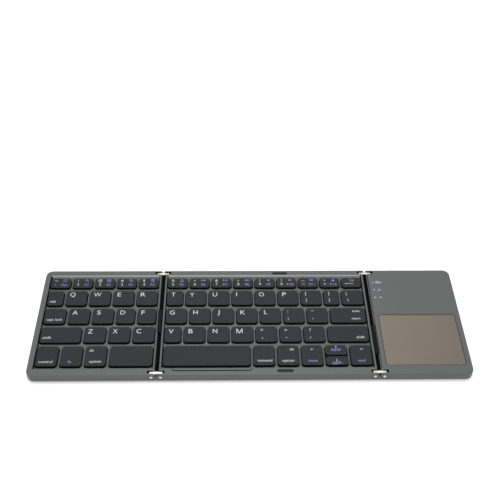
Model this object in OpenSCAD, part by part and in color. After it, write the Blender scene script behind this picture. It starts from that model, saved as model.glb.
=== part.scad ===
// Folding keyboard in three hinged panels: left keys, middle keys, touchpad.
// +X is right, +Y is the rear, +Z is up; the origin is under the middle of the
// open keyboard, on the surface that its feet stand on.

/* [Key rows] */
// Depth of the number keys
number_row_d = 9.3; // [8:0.1:12]
// Depth of the three rows of letter keys
letter_row_d = 14.1; // [11:0.1:17]
// Depth of the front row with the space bars
bottom_row_d = 17.4; // [16.4:0.1:20]
// Deck left between two rows
row_gap = 3.2; // [2:0.1:5]
// Depth of the up key, at the rear of its column
up_key_d = 8.6; // [7.6:0.1:9]
// Gap between the up key and the down key
arrow_gap = 1; // [0.8:0.1:1.6]
// Deck behind the number keys
rear_margin = 2.1; // [1:0.1:4]
// Deck in front of the space bars
front_margin = 2.5; // [1:0.1:4]

/* [Left keys] */
// Width of the tab key
tab_key_w = 11.4; // [10:0.1:14]
// Width of a letter key on the left
left_letter_w = 15.3; // [14:0.1:17]
// Width of a front-row key on the left
left_modifier_w = 14.85; // [12:0.05:17]
// Gap between keys on the left
left_key_gap = 1.85; // [1.4:0.05:2.4]
// Gap between the number keys on the left
left_number_gap = 1.5; // [1.1:0.05:2.4]

/* [Middle keys] */
// Width of a letter key in the middle
middle_letter_w = 15.2; // [14:0.1:17]
// Width of the narrow letter keys at the fold
narrow_key_w = 11.8; // [10:0.1:14]
// Width of the closing bracket key
bracket_key_w = 11.5; // [10:0.1:13]
// Width of the enter key
enter_key_w = 25.75; // [24:0.05:32]
// Width of a front-row key in the middle
middle_modifier_w = 14.9; // [12:0.1:17]
// Width of the up and down keys
arrow_key_w = 15.5; // [12:0.1:17]
// Gap between keys in the middle
middle_key_gap = 1.75; // [1.4:0.05:2.4]
// Gap between the number keys in the middle
middle_number_gap = 1.4; // [1.1:0.05:2.4]

/* [Keycaps] */
// Height of the key tops above the shell's underside
key_top_z = 6.5; // [6.2:0.1:6.7]
// Height of a keycap from its skirt to its top
key_h = 2.5; // [2:0.1:2.7]
// Way that a key moves down
key_travel = 1.2; // [0.8:0.1:1.4]
// Corner radius of a keycap
key_corner_r = 2.2; // [1.2:0.1:3]
// Gap between a keycap and its hole in the deck
key_clear = 0.35; // [0.2:0.05:0.5]
// Thickness of a keycap's walls
cap_wall = 0.9; // [0.6:0.1:1]
// Thickness of a keycap's top
cap_top_t = 1; // [0.7:0.1:1.2]
// Diameter of the plunger under a keycap
plunger_d = 2.2; // [1.6:0.1:2.4]

/* [Shells] */
// Thickness of one panel without its feet
shell_t = 6.9; // [6.7:0.1:7.6]
// Height of the joint between the bottom and top covers
parting_z = 5.2; // [5:0.1:5.4]
// Thickness of the side walls
wall_t = 1.4; // [1:0.1:1.6]
// Thickness of the bottom covers' floor
floor_t = 1; // [0.9:0.1:1.1]
// Thickness of the rim around the keys
rim_t = 1.3; // [1.2:0.1:1.4]
// Height of the deck between the keys
deck_z = 4.5; // [4.4:0.1:4.8]
// Thickness of the deck
deck_t = 0.8; // [0.6:0.1:0.9]
// Thickness of the wall between the rim and the deck
well_wall_t = 0.8; // [0.6:0.1:0.9]
// Bevel of the rim's edge behind the number keys
well_bevel = 0.9; // [0.2:0.1:1]
// Depth of the rim in front of and behind the keys
rim_d = 5.775; // [5.575:0.1:7]
// Width of the rim at the left end
left_rim_w = 3.95; // [3:0.1:6]
// Deck between the rim and the outermost left keys
left_margin = 0.85; // [0.5:0.05:2]
// Deck between the keys and the rim at the folds
fold_margin = 0.75; // [0.5:0.05:2]
// Width of the left panel's rim at the fold
left_fold_rim_w = 2; // [2:0.1:5]
// Width of the middle panel's rims at the folds
middle_fold_rim_w = 3.2; // [3:0.1:6]
// Corner radius of the keyboard seen from above
corner_r = 5; // [2:0.5:8]
// Rounding of the upper edges
top_edge_r = 1; // [0.4:0.1:1.4]
// Rounding of the lower edges
bottom_edge_r = 1.2; // [0.4:0.1:1.8]

/* [Hinges] */
// Distance between the two pins of a link
pin_spacing = 6.4; // [6.3:0.1:7]
// Height of the pins above the shell's underside
pin_z = 3.8; // [3.8:0.1:4]
// Height of a link above its pins
link_rise = 2.2; // [1.8:0.05:2.25]
// Depth of a link below its pins
link_drop = 2; // [1.6:0.1:2.2]
// Rounding of a link's upper corners
link_round = 0.25; // [0.1:0.05:0.4]
// Thickness of a link
link_t = 2; // [1.2:0.1:2.1]
// Distance from the front or rear face to a link's middle
link_inset = 2.675; // [2.575:0.1:2.775]
// Gap beside a link in its notch
link_side_clear = 0.25; // [0.15:0.05:0.3]
// Gap around a link's end in its notch
link_end_clear = 0.3; // [0.2:0.05:0.6]
// Diameter of a hinge pin
pin_d = 1.5; // [1.2:0.1:1.6]
// Radial play of a link on its pin
pin_play = 0.05; // [0.03:0.01:0.08]
// Diameter of a pin's head
pin_head_d = 2.4; // [2:0.1:3]
// Diameter of the recess around a pin's head
pin_recess_d = 4.4; // [3.6:0.1:4.8]
// Depth of the recess around a pin's head
pin_recess_t = 0.5; // [0.3:0.1:0.8]
// Thickness of the inner cheek that holds a pin's end
cheek_t = 1; // [0.8:0.1:1.1]
// Gap below a link in its notch
link_floor_clear = 0.25; // [0.15:0.05:0.3]
// Length of the hinge block behind a notch
block_back_l = 1; // [0.6:0.1:2]
// Cut-back of each panel end above the pins, between the hinge blocks
channel_cut = 0.75; // [0.2:0.05:0.8]

/* [Cable strips] */
// Top of the rubber strips above the shell's underside
strip_top_z = 6.6; // [6.4:0.1:6.7]
// Height of the rubber strips
strip_h = 1.2; // [0.8:0.1:1.3]
// Gap between a strip and the rounded panel ends
strip_clear = 0.25; // [0.2:0.05:0.3]
// Length of the left strip
left_strip_l = 21; // [14:0.5:30]
// Middle of the left strip, from front to rear
left_strip_y = -0.4; // [-6:0.1:6]
// Length of the right strip
right_strip_l = 25.6; // [14:0.1:30]
// Middle of the right strip, from front to rear
right_strip_y = -18.4; // [-22:0.1:-12]
// Width of the flat cables
cable_w = 12; // [8:0.5:14]
// Thickness of the flat cables
cable_t = 0.2; // [0.15:0.05:0.3]
// Height of the flat cables where they cross a fold
cable_z = 2.9; // [2.6:0.1:3]
// Gap around a flat cable in its slot
slot_clear = 0.3; // [0.2:0.05:0.4]

/* [Touchpad panel] */
// Thickness of the touchpad panel's top
pad_top_t = 1; // [0.8:0.1:1.2]
// Width of the touchpad
pad_w = 54.8; // [48:0.1:62]
// Depth of the touchpad
pad_d = 44.8; // [38:0.1:46]
// Thickness of the touchpad's plate
pad_t = 1; // [0.8:0.1:1.1]
// Depth of the touchpad's face below the rim
pad_sink = 0.35; // [0.2:0.05:0.5]
// Gap around the touchpad
pad_clear = 0.3; // [0.2:0.05:0.5]
// Width of the step around the touchpad
pad_step_w = 0.45; // [0.2:0.05:0.6]
// Depth of the step around the touchpad
pad_step_t = 0.35; // [0.2:0.05:0.6]
// Corner radius of the touchpad
pad_corner_r = 1.8; // [1:0.1:3]
// Shell between the fold and the touchpad
pad_fold_margin = 5.2; // [4.7:0.1:8]
// Shell to the right of the touchpad
pad_right_margin = 4.25; // [3.5:0.05:8]
// Shell in front of the touchpad
pad_front_margin = 8.125; // [7.5:0.125:9.5]
// Height of the fold-end lip of the touchpad's bottom cover
lip_z = 6.3; // [6:0.1:6.4]
// Distance from the fold end to the edge of the touchpad's top cover
lip_w = 1.8; // [1.7:0.1:2.4]
// Gap between that edge and the lip
lip_gap = 0.45; // [0.2:0.05:0.5]
// Width of a status light
light_w = 1.5; // [1:0.1:2.4]
// Depth of a status light
light_d = 0.8; // [0.6:0.1:1.4]
// Height of the light pipes below the panel's top
light_pipe_l = 0.4; // [0.2:0.1:0.8]
// Distance from the fold to the status lights
light_inset = 4.9; // [4:0.1:6]
// Distance between two status lights
light_pitch = 7.55; // [5:0.05:9]
// Distance from the rear face to the first status light
light_rear = 12.9; // [10:0.1:15]

/* [Inside] */
// Thickness of the steel plates under the keys
plate_t = 0.4; // [0.3:0.05:0.5]
// Thickness of the switch membranes
membrane_t = 0.25; // [0.2:0.05:0.3]
// Thickness of the dome sheets between the domes
sheet_t = 0.2; // [0.15:0.05:0.25]
// Base diameter of a dome
dome_d = 3.8; // [3.2:0.1:4]
// Top diameter of a dome
dome_top_d = 2.4; // [2:0.1:3]
// Thickness of a dome's wall
dome_wall = 0.3; // [0.2:0.05:0.4]
// Height of a dome that a key has pressed down
dome_crushed_h = 0.8; // [0.6:0.05:0.9]
// Width of a scissor's outer arm
scissor_w = 8.8; // [8.6:0.1:9]
// Length of a scissor arm
scissor_l = 6; // [5.8:0.1:6.2]
// Thickness of a scissor arm
scissor_t = 0.5; // [0.4:0.05:0.6]
// Width of a scissor arm's bars
scissor_bar = 0.6; // [0.5:0.05:0.65]
// Slope of a scissor arm at rest
scissor_slope = 28; // [24:1:30]
// Width of the battery
battery_w = 42; // [30:1:46]
// Depth of the battery
battery_d = 30; // [20:1:34]
// Thickness of the battery
battery_t = 2.8; // [2:0.1:3]
// Corner radius of the battery
battery_corner_r = 1.5; // [0.5:0.1:3]
// Depth of the main circuit board
board_d = 32; // [26:1:34]
// Thickness of the circuit boards
board_t = 0.8; // [0.6:0.1:1]
// Width of the charging socket
port_w = 7.6; // [7:0.1:8.4]
// Height of the charging socket
port_h = 2.6; // [2.4:0.1:2.8]
// Depth of the charging socket
port_d = 5.2; // [4.6:0.1:6]
// Depth of the charging socket's mouth in the end wall
port_sink = 0.4; // [0.2:0.1:0.8]
// Thickness of the charging socket's metal
port_wall = 0.3; // [0.2:0.05:0.4]
// Height of the main board above the floor
standoff_h = 0.6; // [0.4:0.1:0.8]
// Diameter of the main board's standoffs
standoff_d = 3; // [2:0.1:4]
// Distance from the rear face to the charging socket's middle
port_rear = 20; // [16:0.5:26]

/* [Feet, pads and screws] */
// Height of the feet below the shells
foot_h = 1.1; // [0.8:0.1:2]
// Diameter of a foot
foot_d = 7; // [5:0.5:9]
// Depth of a foot's seat in the bottom cover
foot_seat = 0.3; // [0.2:0.05:0.4]
// Distance from the panel's edges to a foot's middle
foot_inset = 9.5; // [8.5:0.5:14]
// Length of the rim pads
rim_pad_l = 11.2; // [6:0.1:14]
// Width of the rim pads
rim_pad_w = 2.3; // [1.6:0.1:2.6]
// Thickness of the rim pads
rim_pad_t = 0.6; // [0.4:0.05:0.7]
// Height of the rim pads above the rim
rim_pad_proud = 0.15; // [0.05:0.05:0.15]
// Distance from the front or rear face to a rim pad's middle
rim_pad_inset = 3.3; // [3.1:0.1:3.5]
// Distance from the space bar's right end to the right end of the recess before it
relief_past = 2.2; // [1:0.1:3]
// Width of that recess
relief_w = 57.5; // [40:0.5:59]
// Reach of that recess towards the front
relief_d = 2.5; // [1.5:0.1:3]
// Depth of that recess below the rim
relief_t = 0.3; // [0.2:0.05:0.5]
// Width of the groove along its front and slanted edges
groove_w = 1.1; // [0.8:0.1:1.3]
// Depth of that groove below the rim
groove_t = 0.95; // [0.7:0.05:1]
// Diameter of a screw's head
screw_head_d = 2.6; // [2.2:0.1:2.8]
// Thickness of a screw's head
screw_head_t = 0.5; // [0.4:0.05:0.6]
// Diameter of a screw's thread
screw_d = 1.4; // [1.2:0.1:1.5]
// Length of a screw under its head
screw_l = 3.4; // [2.6:0.1:3.8]
// Diameter of a screw boss
boss_d = 2.8; // [2.6:0.1:2.9]
// Distance from the front or rear face to a screw
screw_inset = 3.2; // [3.1:0.1:3.3]
// Distance from a panel's ends to its outer screws
screw_end = 14; // [11:0.5:18]
// Distance of the middle screws from the middle panel's middle, to the left
screw_offset = 12; // [0:0.5:20]
// Gap between a screw's head and its hole
head_clear = 0.15; // [0.1:0.05:0.3]

/* [Hidden] */
$fn = 48;
round_steps = 5;     // facets on a small rounded corner
end_steps = 14;      // facets on a panel's rounded fold end
fit = 0.02;          // radial gap of pins and screws in plastic
part_gap = 0.1;      // gap between pieces that are laid in each other
cross_l = 1.5;       // length, width and depth of the cross in a screw's head
cross_w = 0.3;
cross_t = 0.3;
eps = 0.01;          // overshoot of a cut past a face

// How the widths add up, from left to right
left_keys_w = tab_key_w + 4 * (left_letter_w + left_key_gap);
middle_keys_w = 7 * (middle_letter_w + middle_key_gap) + enter_key_w;
left_w = left_rim_w + left_margin + left_keys_w + fold_margin + left_fold_rim_w;
middle_w = 2 * (middle_fold_rim_w + fold_margin) + middle_keys_w;
right_w = pad_fold_margin + pad_w + pad_right_margin;
end_r = shell_t - pin_z;
seam_w = pin_spacing - 2 * end_r;
total_w = left_w + middle_w + right_w + 2 * seam_w;
left_x0 = -total_w / 2;
left_x1 = left_x0 + left_w;
middle_x0 = left_x1 + seam_w;
middle_x1 = middle_x0 + middle_w;
right_x0 = middle_x1 + seam_w;
right_x1 = total_w / 2;
left_fold_x = left_x1 + seam_w / 2;
right_fold_x = middle_x1 + seam_w / 2;

// How the depths add up, from the rear to the front
rows_d = number_row_d + 3 * letter_row_d + bottom_row_d + 4 * row_gap;
well_d = rear_margin + rows_d + front_margin;
body_d = well_d + 2 * rim_d;
rear_y = body_d / 2;
well_y1 = rear_y - rim_d;
well_y0 = -well_y1;
row_depths = [number_row_d, letter_row_d, letter_row_d, letter_row_d, bottom_row_d];
function sum_to(list, n) = n <= 0 ? 0 : list[n - 1] + sum_to(list, n - 1);
function row_span(i) =
    let (y1 = well_y1 - rear_margin - sum_to(row_depths, i) - i * row_gap)
    [y1 - row_depths[i], y1];

// Heights inside a panel, from the floor up
membrane_z = floor_t + plate_t;
sheet_z = membrane_z + membrane_t;
sheet_top = sheet_z + sheet_t;
key_skirt_z = key_top_z - key_h;
plunger_z = sheet_z + dome_crushed_h + key_travel;
cavity_top = shell_t - rim_t;
deck_base = deck_z - deck_t;

// Keys as [x0, x1, y0, y1]: a row's widths are laid out from its left end
function spread(x0, widths, gap, row) =
    let (span = row_span(row))
    [for (i = [0:len(widths) - 1])
        let (x = x0 + sum_to(widths, i) + i * gap)
        [x, x + widths[i], span[0], span[1]]];
function total(list) = sum_to(list, len(list));
function times(value, n) = [for (i = [1:n]) value];
function rest_of(width, widths, gap) = width - total(widths) - len(widths) * gap;
function filled_row(x0, width, widths, gap, row) =
    spread(x0, concat(widths, rest_of(width, widths, gap)), gap, row);
function even_row(x0, width, n, gap, row) =
    spread(x0, times((width - (n - 1) * gap) / n, n), gap, row);
function pick(list, first, last) = [for (i = [first:last]) list[i]];

left_keys_x = left_x0 + left_rim_w + left_margin;
left_row1 = even_row(left_keys_x, left_keys_w, 5, left_number_gap, 0);
left_row2 = spread(left_keys_x, concat(tab_key_w, times(left_letter_w, 4)), left_key_gap, 1);
home_start = times(left_letter_w, 3);
home_w = (left_keys_w - total(home_start) - 4 * left_key_gap) / 2;
left_row3 = spread(left_keys_x, concat(home_start, times(home_w, 2)), left_key_gap, 2);
zxc_widths = times(left_letter_w, 3);
left_row4 = spread(left_keys_x,
    concat(rest_of(left_keys_w, zxc_widths, left_key_gap), zxc_widths), left_key_gap, 3);
left_row5 = filled_row(left_keys_x, left_keys_w, times(left_modifier_w, 3), left_key_gap, 4);
left_keys = concat(left_row1, left_row2, left_row3, left_row4, left_row5);

middle_keys_x = middle_x0 + middle_fold_rim_w + fold_margin;
middle_row1 = even_row(middle_keys_x, middle_keys_w, 9, middle_number_gap, 0);
six_letters = times(middle_letter_w, 6);
middle_row2 = filled_row(middle_keys_x, middle_keys_w,
    concat(narrow_key_w, six_letters, bracket_key_w), middle_key_gap, 1);
middle_row3 = spread(middle_keys_x,
    concat(times(middle_letter_w, 7), enter_key_w), middle_key_gap, 2);
middle_row4 = filled_row(middle_keys_x, middle_keys_w,
    concat(narrow_key_w, six_letters), middle_key_gap, 3);
front_widths = concat(times(middle_modifier_w, 3), arrow_key_w, middle_modifier_w);
middle_row5 = spread(middle_keys_x,
    concat(rest_of(middle_keys_w, front_widths, middle_key_gap), front_widths), middle_key_gap, 4);
arrow_column = middle_row5[4];
up_key = [arrow_column[0], arrow_column[1], arrow_column[3] - up_key_d, arrow_column[3]];
down_key = [arrow_column[0], arrow_column[1], arrow_column[2], up_key[2] - arrow_gap];
middle_holes = concat(middle_row1, middle_row2, middle_row3, middle_row4, middle_row5);
middle_keys = concat(middle_row1, middle_row2, middle_row3, middle_row4,
    pick(middle_row5, 0, 3), [up_key, down_key, middle_row5[5]]);

// Wells that the keys stand in, as [x0, x1]
left_well = [left_x0 + left_rim_w, left_x1 - left_fold_rim_w];
middle_well = [middle_x0 + middle_fold_rim_w, middle_x1 - middle_fold_rim_w];

// Hinges
left_pins_x = [left_fold_x - pin_spacing / 2, left_fold_x + pin_spacing / 2];
right_pins_x = [right_fold_x - pin_spacing / 2, right_fold_x + pin_spacing / 2];
link_y = rear_y - link_inset;
notch_t = link_t + 2 * link_side_clear;
link_end_r = link_rise + link_round;
notch_l = pin_spacing / 2 + link_end_r + link_end_clear;
notch_z = pin_z - max(link_end_r, link_drop) - link_floor_clear;
block_l = notch_l + block_back_l;
block_y = link_y - notch_t / 2 - cheek_t;

// Touchpad panel
pad_x0 = right_x0 + pad_fold_margin;
pad_y0 = -rear_y + pad_front_margin;
pad_z1 = shell_t - pad_sink;
light_x = right_x0 + light_inset;
port_y = rear_y - port_rear;
port_x0 = right_x1 - port_d - port_sink;
port_z = floor_t + standoff_h + board_t;

// Screws and feet as [x, y]
screw_y = rear_y - screw_inset;
function both_sides(xs, y) = [for (x = xs) for (side = [-1, 1]) [x, side * y]];
left_screws_at = both_sides([left_x0 + screw_end, left_x1 - screw_end], screw_y);
middle_screws_at = both_sides(
    [middle_x0 + screw_end, (middle_x0 + middle_x1) / 2 - screw_offset, middle_x1 - screw_end], screw_y);
right_screws_at = both_sides([right_x0 + screw_end, right_x1 - screw_end], screw_y);
function feet_of(x0, x1) = both_sides([x0 + foot_inset, x1 - foot_inset], rear_y - foot_inset);

shell_grey = "#6d7070";
key_black = "#3c3d3e";
steel = "#c9cbcd";
rubber = "#1c1c1d";
plastic_white = "#d8d8d4";
board_green = "#1f5b3a";

function arc(cx, cy, r, from, to, steps = round_steps) =
    [for (i = [0:steps]) let (a = from + (to - from) * i / steps) [cx + r * cos(a), cy + r * sin(a)]];

// Rounded rectangle; box is [x0, x1, y0, y1]
function rounded(box, r) = concat(
    arc(box[1] - r, box[3] - r, r, 0, 90), arc(box[0] + r, box[3] - r, r, 90, 180),
    arc(box[0] + r, box[2] + r, r, 180, 270), arc(box[1] - r, box[2] + r, r, 270, 360));
function grown(box, by) = [box[0] - by, box[1] + by, box[2] - by, box[3] + by];

module on_feet() {
    translate([0, 0, foot_h]) children();
}

module slab(box, z0, z1, r = 0) {
    translate([0, 0, z0]) linear_extrude(z1 - z0)
        if (r > 0) polygon(rounded(box, r));
        else translate([box[0], box[2]]) square([box[1] - box[0], box[3] - box[2]]);
}

// A cylinder along Y from y0 to y1
module rod(x, z, d, y0, y1) {
    translate([x, y1, z]) rotate([90, 0, 0]) cylinder(d = d, h = y1 - y0);
}

// ---- Shells ----

// Upper corners of a panel's long section: a round edge, or the quarter round
// about the pins at a fold
function top_left(x0, folds) = folds
    ? arc(x0 + end_r, pin_z, end_r, 90, 180, end_steps)
    : arc(x0 + top_edge_r, shell_t - top_edge_r, top_edge_r, 90, 180);
function top_right(x1, folds) = folds
    ? arc(x1 - end_r, pin_z, end_r, 0, 90, end_steps)
    : arc(x1 - top_edge_r, shell_t - top_edge_r, top_edge_r, 0, 90);
function long_section(x0, x1, fold0, fold1) = concat(
    top_right(x1, fold1), top_left(x0, fold0),
    arc(x0 + bottom_edge_r, bottom_edge_r, bottom_edge_r, 180, 270),
    arc(x1 - bottom_edge_r, bottom_edge_r, bottom_edge_r, 270, 360));
function cross_section() = concat(
    arc(rear_y - top_edge_r, shell_t - top_edge_r, top_edge_r, 0, 90),
    arc(-rear_y + top_edge_r, shell_t - top_edge_r, top_edge_r, 90, 180),
    arc(-rear_y + bottom_edge_r, bottom_edge_r, bottom_edge_r, 180, 270),
    arc(rear_y - bottom_edge_r, bottom_edge_r, bottom_edge_r, 270, 360));

// Outer form of a panel: its long section and its cross-section, with a turned
// quarter at each corner that isn't at a fold
module envelope(x0, x1, fold0, fold1) {
    corners = concat(fold0 ? [] : [[x0, 1]], fold1 ? [] : [[x1, -1]]);
    difference() {
        intersection() {
            rotate([90, 0, 0]) linear_extrude(body_d + 2, center = true)
                polygon(long_section(x0, x1, fold0, fold1));
            translate([x0 - 1, 0, 0]) rotate([90, 0, 90]) linear_extrude(x1 - x0 + 2)
                polygon(cross_section());
        }
        for (end = corners) for (side = [-1, 1]) corner_square(end, side, 1);
    }
    for (end = corners) for (side = [-1, 1]) intersection() {
        corner_square(end, side, 0);
        translate([end[0] + end[1] * corner_r, side * (rear_y - corner_r), 0])
            rotate_extrude() polygon(corner_section());
    }
}

function corner_section() = concat([[0, shell_t], [0, 0]],
    arc(corner_r - bottom_edge_r, bottom_edge_r, bottom_edge_r, 270, 360),
    arc(corner_r - top_edge_r, shell_t - top_edge_r, top_edge_r, 0, 90));

module corner_square(end, side, over) {
    translate([end[1] > 0 ? end[0] - over : end[0] - corner_r,
        side > 0 ? rear_y - corner_r : -rear_y - over, -over])
        cube([corner_r + over, corner_r + over, shell_t + 2 * over]);
}

// Solid blocks that hold the hinge pins; side is -1 at a left end, 1 at a right end
function block_box(x_end, side) = side < 0 ? [x_end, x_end + block_l] : [x_end - block_l, x_end];

module hinge_blocks(x_end, side, z0, z1) {
    span = block_box(x_end, side);
    slab([span[0], span[1], block_y, rear_y - wall_t / 2], z0, z1);
    slab([span[0], span[1], -rear_y + wall_t / 2, -block_y], z0, z1);
}

// Notches for the links, bores for the pins and the channel between the hinge
// blocks at one fold of a panel
module hinge_cuts(x_end, side) {
    edge = x_end - side * channel_cut;
    slab([min(edge, edge + side * 2), max(edge, edge + side * 2), -block_y, block_y],
        pin_z, shell_t + 1);
    fold_x = x_end + side * seam_w / 2;
    x0 = side < 0 ? x_end - 1 : fold_x - notch_l;
    x1 = side < 0 ? fold_x + notch_l : x_end + 1;
    pin_x = fold_x - side * pin_spacing / 2;
    for (y = [-link_y, link_y])
        slab([x0, x1, y - notch_t / 2, y + notch_t / 2], notch_z, shell_t + 1);
    for (mirrored = [0, 1]) mirror([0, mirrored, 0]) {
        rod(pin_x, pin_z, pin_d + 2 * fit, block_y - 1, rear_y + 1);
        rod(pin_x, pin_z, pin_recess_d, rear_y - pin_recess_t, rear_y + 1);
    }
}

module foot_seats(feet) {
    for (at = feet) translate([at[0], at[1], -1])
        cylinder(d = foot_d + 2 * part_gap, h = 1 + foot_seat);
}

module screw_holes(screws) {
    for (at = screws) translate([at[0], at[1], -1]) {
        cylinder(d = screw_d + 2 * fit, h = 1 + floor_t + eps);
        cylinder(d = screw_head_d + 2 * head_clear, h = 1 + screw_head_t + 2 * fit);
    }
}

// Bottom cover: floor and walls up to the parting plane
module tray(x0, x1, fold0, fold1, feet, screws) {
    difference() {
        intersection() {
            envelope(x0, x1, fold0, fold1);
            union() {
                difference() {
                    slab([x0, x1, -rear_y, rear_y], 0, parting_z);
                    slab([x0 + wall_t, x1 - wall_t, -rear_y + wall_t, rear_y - wall_t],
                        floor_t, parting_z + 1, fold0 && fold1 ? 0 : corner_r - wall_t);
                }
                if (fold0) hinge_blocks(x0, -1, 0, parting_z);
                if (fold1) hinge_blocks(x1, 1, 0, parting_z);
            }
        }
        if (fold0) hinge_cuts(x0, -1);
        if (fold1) hinge_cuts(x1, 1);
        foot_seats(feet);
        screw_holes(screws);
    }
}

// Slot for a flat cable through the end wall of a bottom cover
module cable_slot(x_end, y) {
    slab([x_end - wall_t - 1, x_end + wall_t + 1, y - cable_w / 2 - slot_clear, y + cable_w / 2 + slot_clear],
        cable_z - slot_clear, cable_z + cable_t + slot_clear);
}

module screw_bosses(screws, top) {
    for (at = screws) translate([at[0], at[1], floor_t])
        cylinder(d = boss_d, h = top - floor_t + eps);
}

module screw_pilots(screws) {
    for (at = screws) translate([at[0], at[1], 0])
        cylinder(d = screw_d + 2 * fit, h = screw_head_t + screw_l + head_clear);
}

// Top cover of a panel with keys: rim, sunken deck and a hole for each key
module key_cover(x0, x1, fold0, fold1, well, holes, screws) {
    well_box = [well[0], well[1], well_y0, well_y1];
    difference() {
        union() {
            intersection() {
                envelope(x0, x1, fold0, fold1);
                difference() {
                    slab([x0, x1, -rear_y, rear_y], parting_z, shell_t);
                    difference() {
                        slab([x0 + wall_t, x1 - wall_t, -rear_y + wall_t, rear_y - wall_t],
                            parting_z - 1, cavity_top, fold0 && fold1 ? 0 : corner_r - wall_t);
                        if (fold0) hinge_blocks(x0, -1, parting_z - 1, shell_t);
                        if (fold1) hinge_blocks(x1, 1, parting_z - 1, shell_t);
                    }
                }
            }
            difference() {
                intersection() {
                    slab(grown(well_box, well_wall_t), deck_base, cavity_top + eps);
                    slab(grown([x0, x1, -rear_y, rear_y], -wall_t - fit), 0, shell_t);
                }
                if (fold0) hinge_blocks(x0, -1, 0, parting_z);
                if (fold1) hinge_blocks(x1, 1, 0, parting_z);
            }
            screw_bosses(screws, cavity_top);
        }
        slab(well_box, deck_z, shell_t + 1);
        translate([well[0], 0, 0]) rotate([90, 0, 90]) linear_extrude(well[1] - well[0])
            polygon([[well_y1 - 1, shell_t - well_bevel], [well_y1, shell_t - well_bevel],
                [well_y1 + well_bevel + 1, shell_t + 1], [well_y1 - 1, shell_t + 1]]);
        for (key = holes)
            slab(grown(key, key_clear), deck_base - 1, deck_z + 1, key_corner_r + key_clear);
        if (fold0) hinge_cuts(x0, -1);
        if (fold1) hinge_cuts(x1, 1);
        screw_pilots(screws);
    }
}

module left_bottom_cover() {
    color(shell_grey) on_feet() difference() {
        tray(left_x0, left_x1, false, true, feet_of(left_x0, left_x1), left_screws_at);
        cable_slot(left_x1, left_strip_y);
    }
}

module left_top_cover() {
    color(shell_grey) on_feet()
        key_cover(left_x0, left_x1, false, true, left_well, left_keys, left_screws_at);
}

module middle_bottom_cover() {
    color(shell_grey) on_feet() difference() {
        tray(middle_x0, middle_x1, true, true, feet_of(middle_x0, middle_x1), middle_screws_at);
        cable_slot(middle_x0, left_strip_y);
        cable_slot(middle_x1, right_strip_y);
    }
}

// Rim pads lie where the folded side panels meet
rim_pad_x = middle_x0 + left_w + (middle_w - left_w - right_w) / 2;
rim_pads_at = [for (side = [-1, 1]) [rim_pad_x, side * (rear_y - rim_pad_inset)]];
function rim_pad_box(at, by) = grown([at[0] - rim_pad_l / 2, at[0] + rim_pad_l / 2,
    at[1] - rim_pad_w / 2, at[1] + rim_pad_w / 2], by);
rim_pad_base = shell_t + rim_pad_proud - rim_pad_t;

// Recess before the space bar, cut to a depth, with its slanted and front edges
// set back by inset
module relief_cut(x1, depth, inset) {
    reach = relief_d - inset;
    left = x1 - relief_w + inset * sqrt(2);
    right = x1 - inset * sqrt(2);
    translate([0, 0, shell_t - depth]) linear_extrude(depth + 1) polygon([
        [left, well_y0 + 1], [left, well_y0], [left + reach, well_y0 - reach],
        [right - reach, well_y0 - reach], [right, well_y0], [right, well_y0 + 1]]);
}

module middle_top_cover() {
    relief_x1 = middle_row5[0][1] + relief_past;
    color(shell_grey) on_feet() difference() {
        key_cover(middle_x0, middle_x1, true, true, middle_well, middle_holes,
            middle_screws_at);
        relief_cut(relief_x1, relief_t, 0);
        difference() {
            relief_cut(relief_x1, groove_t, 0);
            relief_cut(relief_x1, groove_t + 1, groove_w);
        }
        for (at = rim_pads_at)
            slab(rim_pad_box(at, part_gap), rim_pad_base, shell_t + 1,
                rim_pad_w / 2 + part_gap - eps);
    }
}

module rim_pads() {
    color(rubber) on_feet() for (at = rim_pads_at)
        slab(rim_pad_box(at, 0), rim_pad_base, rim_pad_base + rim_pad_t, rim_pad_w / 2 - eps);
}

// ---- Touchpad panel ----

pad_box = [pad_x0, pad_x0 + pad_w, pad_y0, pad_y0 + pad_d];
pad_board_z1 = pad_z1 - pad_t;
function lip_box(gap) = [right_x0 - 1, right_x0 + lip_w - gap, -block_y, block_y];

module right_bottom_cover() {
    color(shell_grey) on_feet() difference() {
        union() {
            tray(right_x0, right_x1, true, false, feet_of(right_x0, right_x1),
                right_screws_at);
            difference() {
                intersection() {
                    envelope(right_x0, right_x1, true, false);
                    slab(lip_box(lip_gap), parting_z - eps, lip_z);
                }
                hinge_cuts(right_x0, -1);
            }
        }
        cable_slot(right_x0, right_strip_y);
        slab([port_x0 - part_gap, right_x1 + 1,
            port_y - port_w / 2 - part_gap, port_y + port_w / 2 + part_gap],
            port_z - part_gap, port_z + port_h + part_gap);
    }
}

module right_top_cover() {
    color(shell_grey) on_feet() difference() {
        union() {
            intersection() {
                envelope(right_x0, right_x1, true, false);
                difference() {
                    slab([right_x0, right_x1, -rear_y, rear_y], parting_z, shell_t);
                    slab(lip_box(0), parting_z - 1, shell_t + 1);
                    difference() {
                        slab([right_x0 + lip_w + 1, right_x1 - wall_t, -rear_y + wall_t, rear_y - wall_t],
                            parting_z - 1, shell_t - pad_top_t, corner_r - wall_t);
                        hinge_blocks(right_x0, -1, parting_z - 1, shell_t);
                    }
                }
            }
            screw_bosses(right_screws_at, shell_t - pad_top_t);
            // frame that the touchpad's board is held in
            slab(grown(pad_box, pad_clear + well_wall_t), pad_board_z1 - board_t,
                shell_t - pad_top_t + eps, pad_corner_r + pad_clear + well_wall_t);
        }
        slab(grown(pad_box, pad_clear), 0, shell_t + 1, pad_corner_r + pad_clear);
        slab(grown(pad_box, pad_clear + pad_step_w), shell_t - pad_step_t, shell_t + 1,
            pad_corner_r + pad_clear + pad_step_w);
        for (i = [0:2]) slab(light_box(i, part_gap / 2), 0, shell_t + 1);
        hinge_cuts(right_x0, -1);
        screw_pilots(right_screws_at);
    }
}

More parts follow.
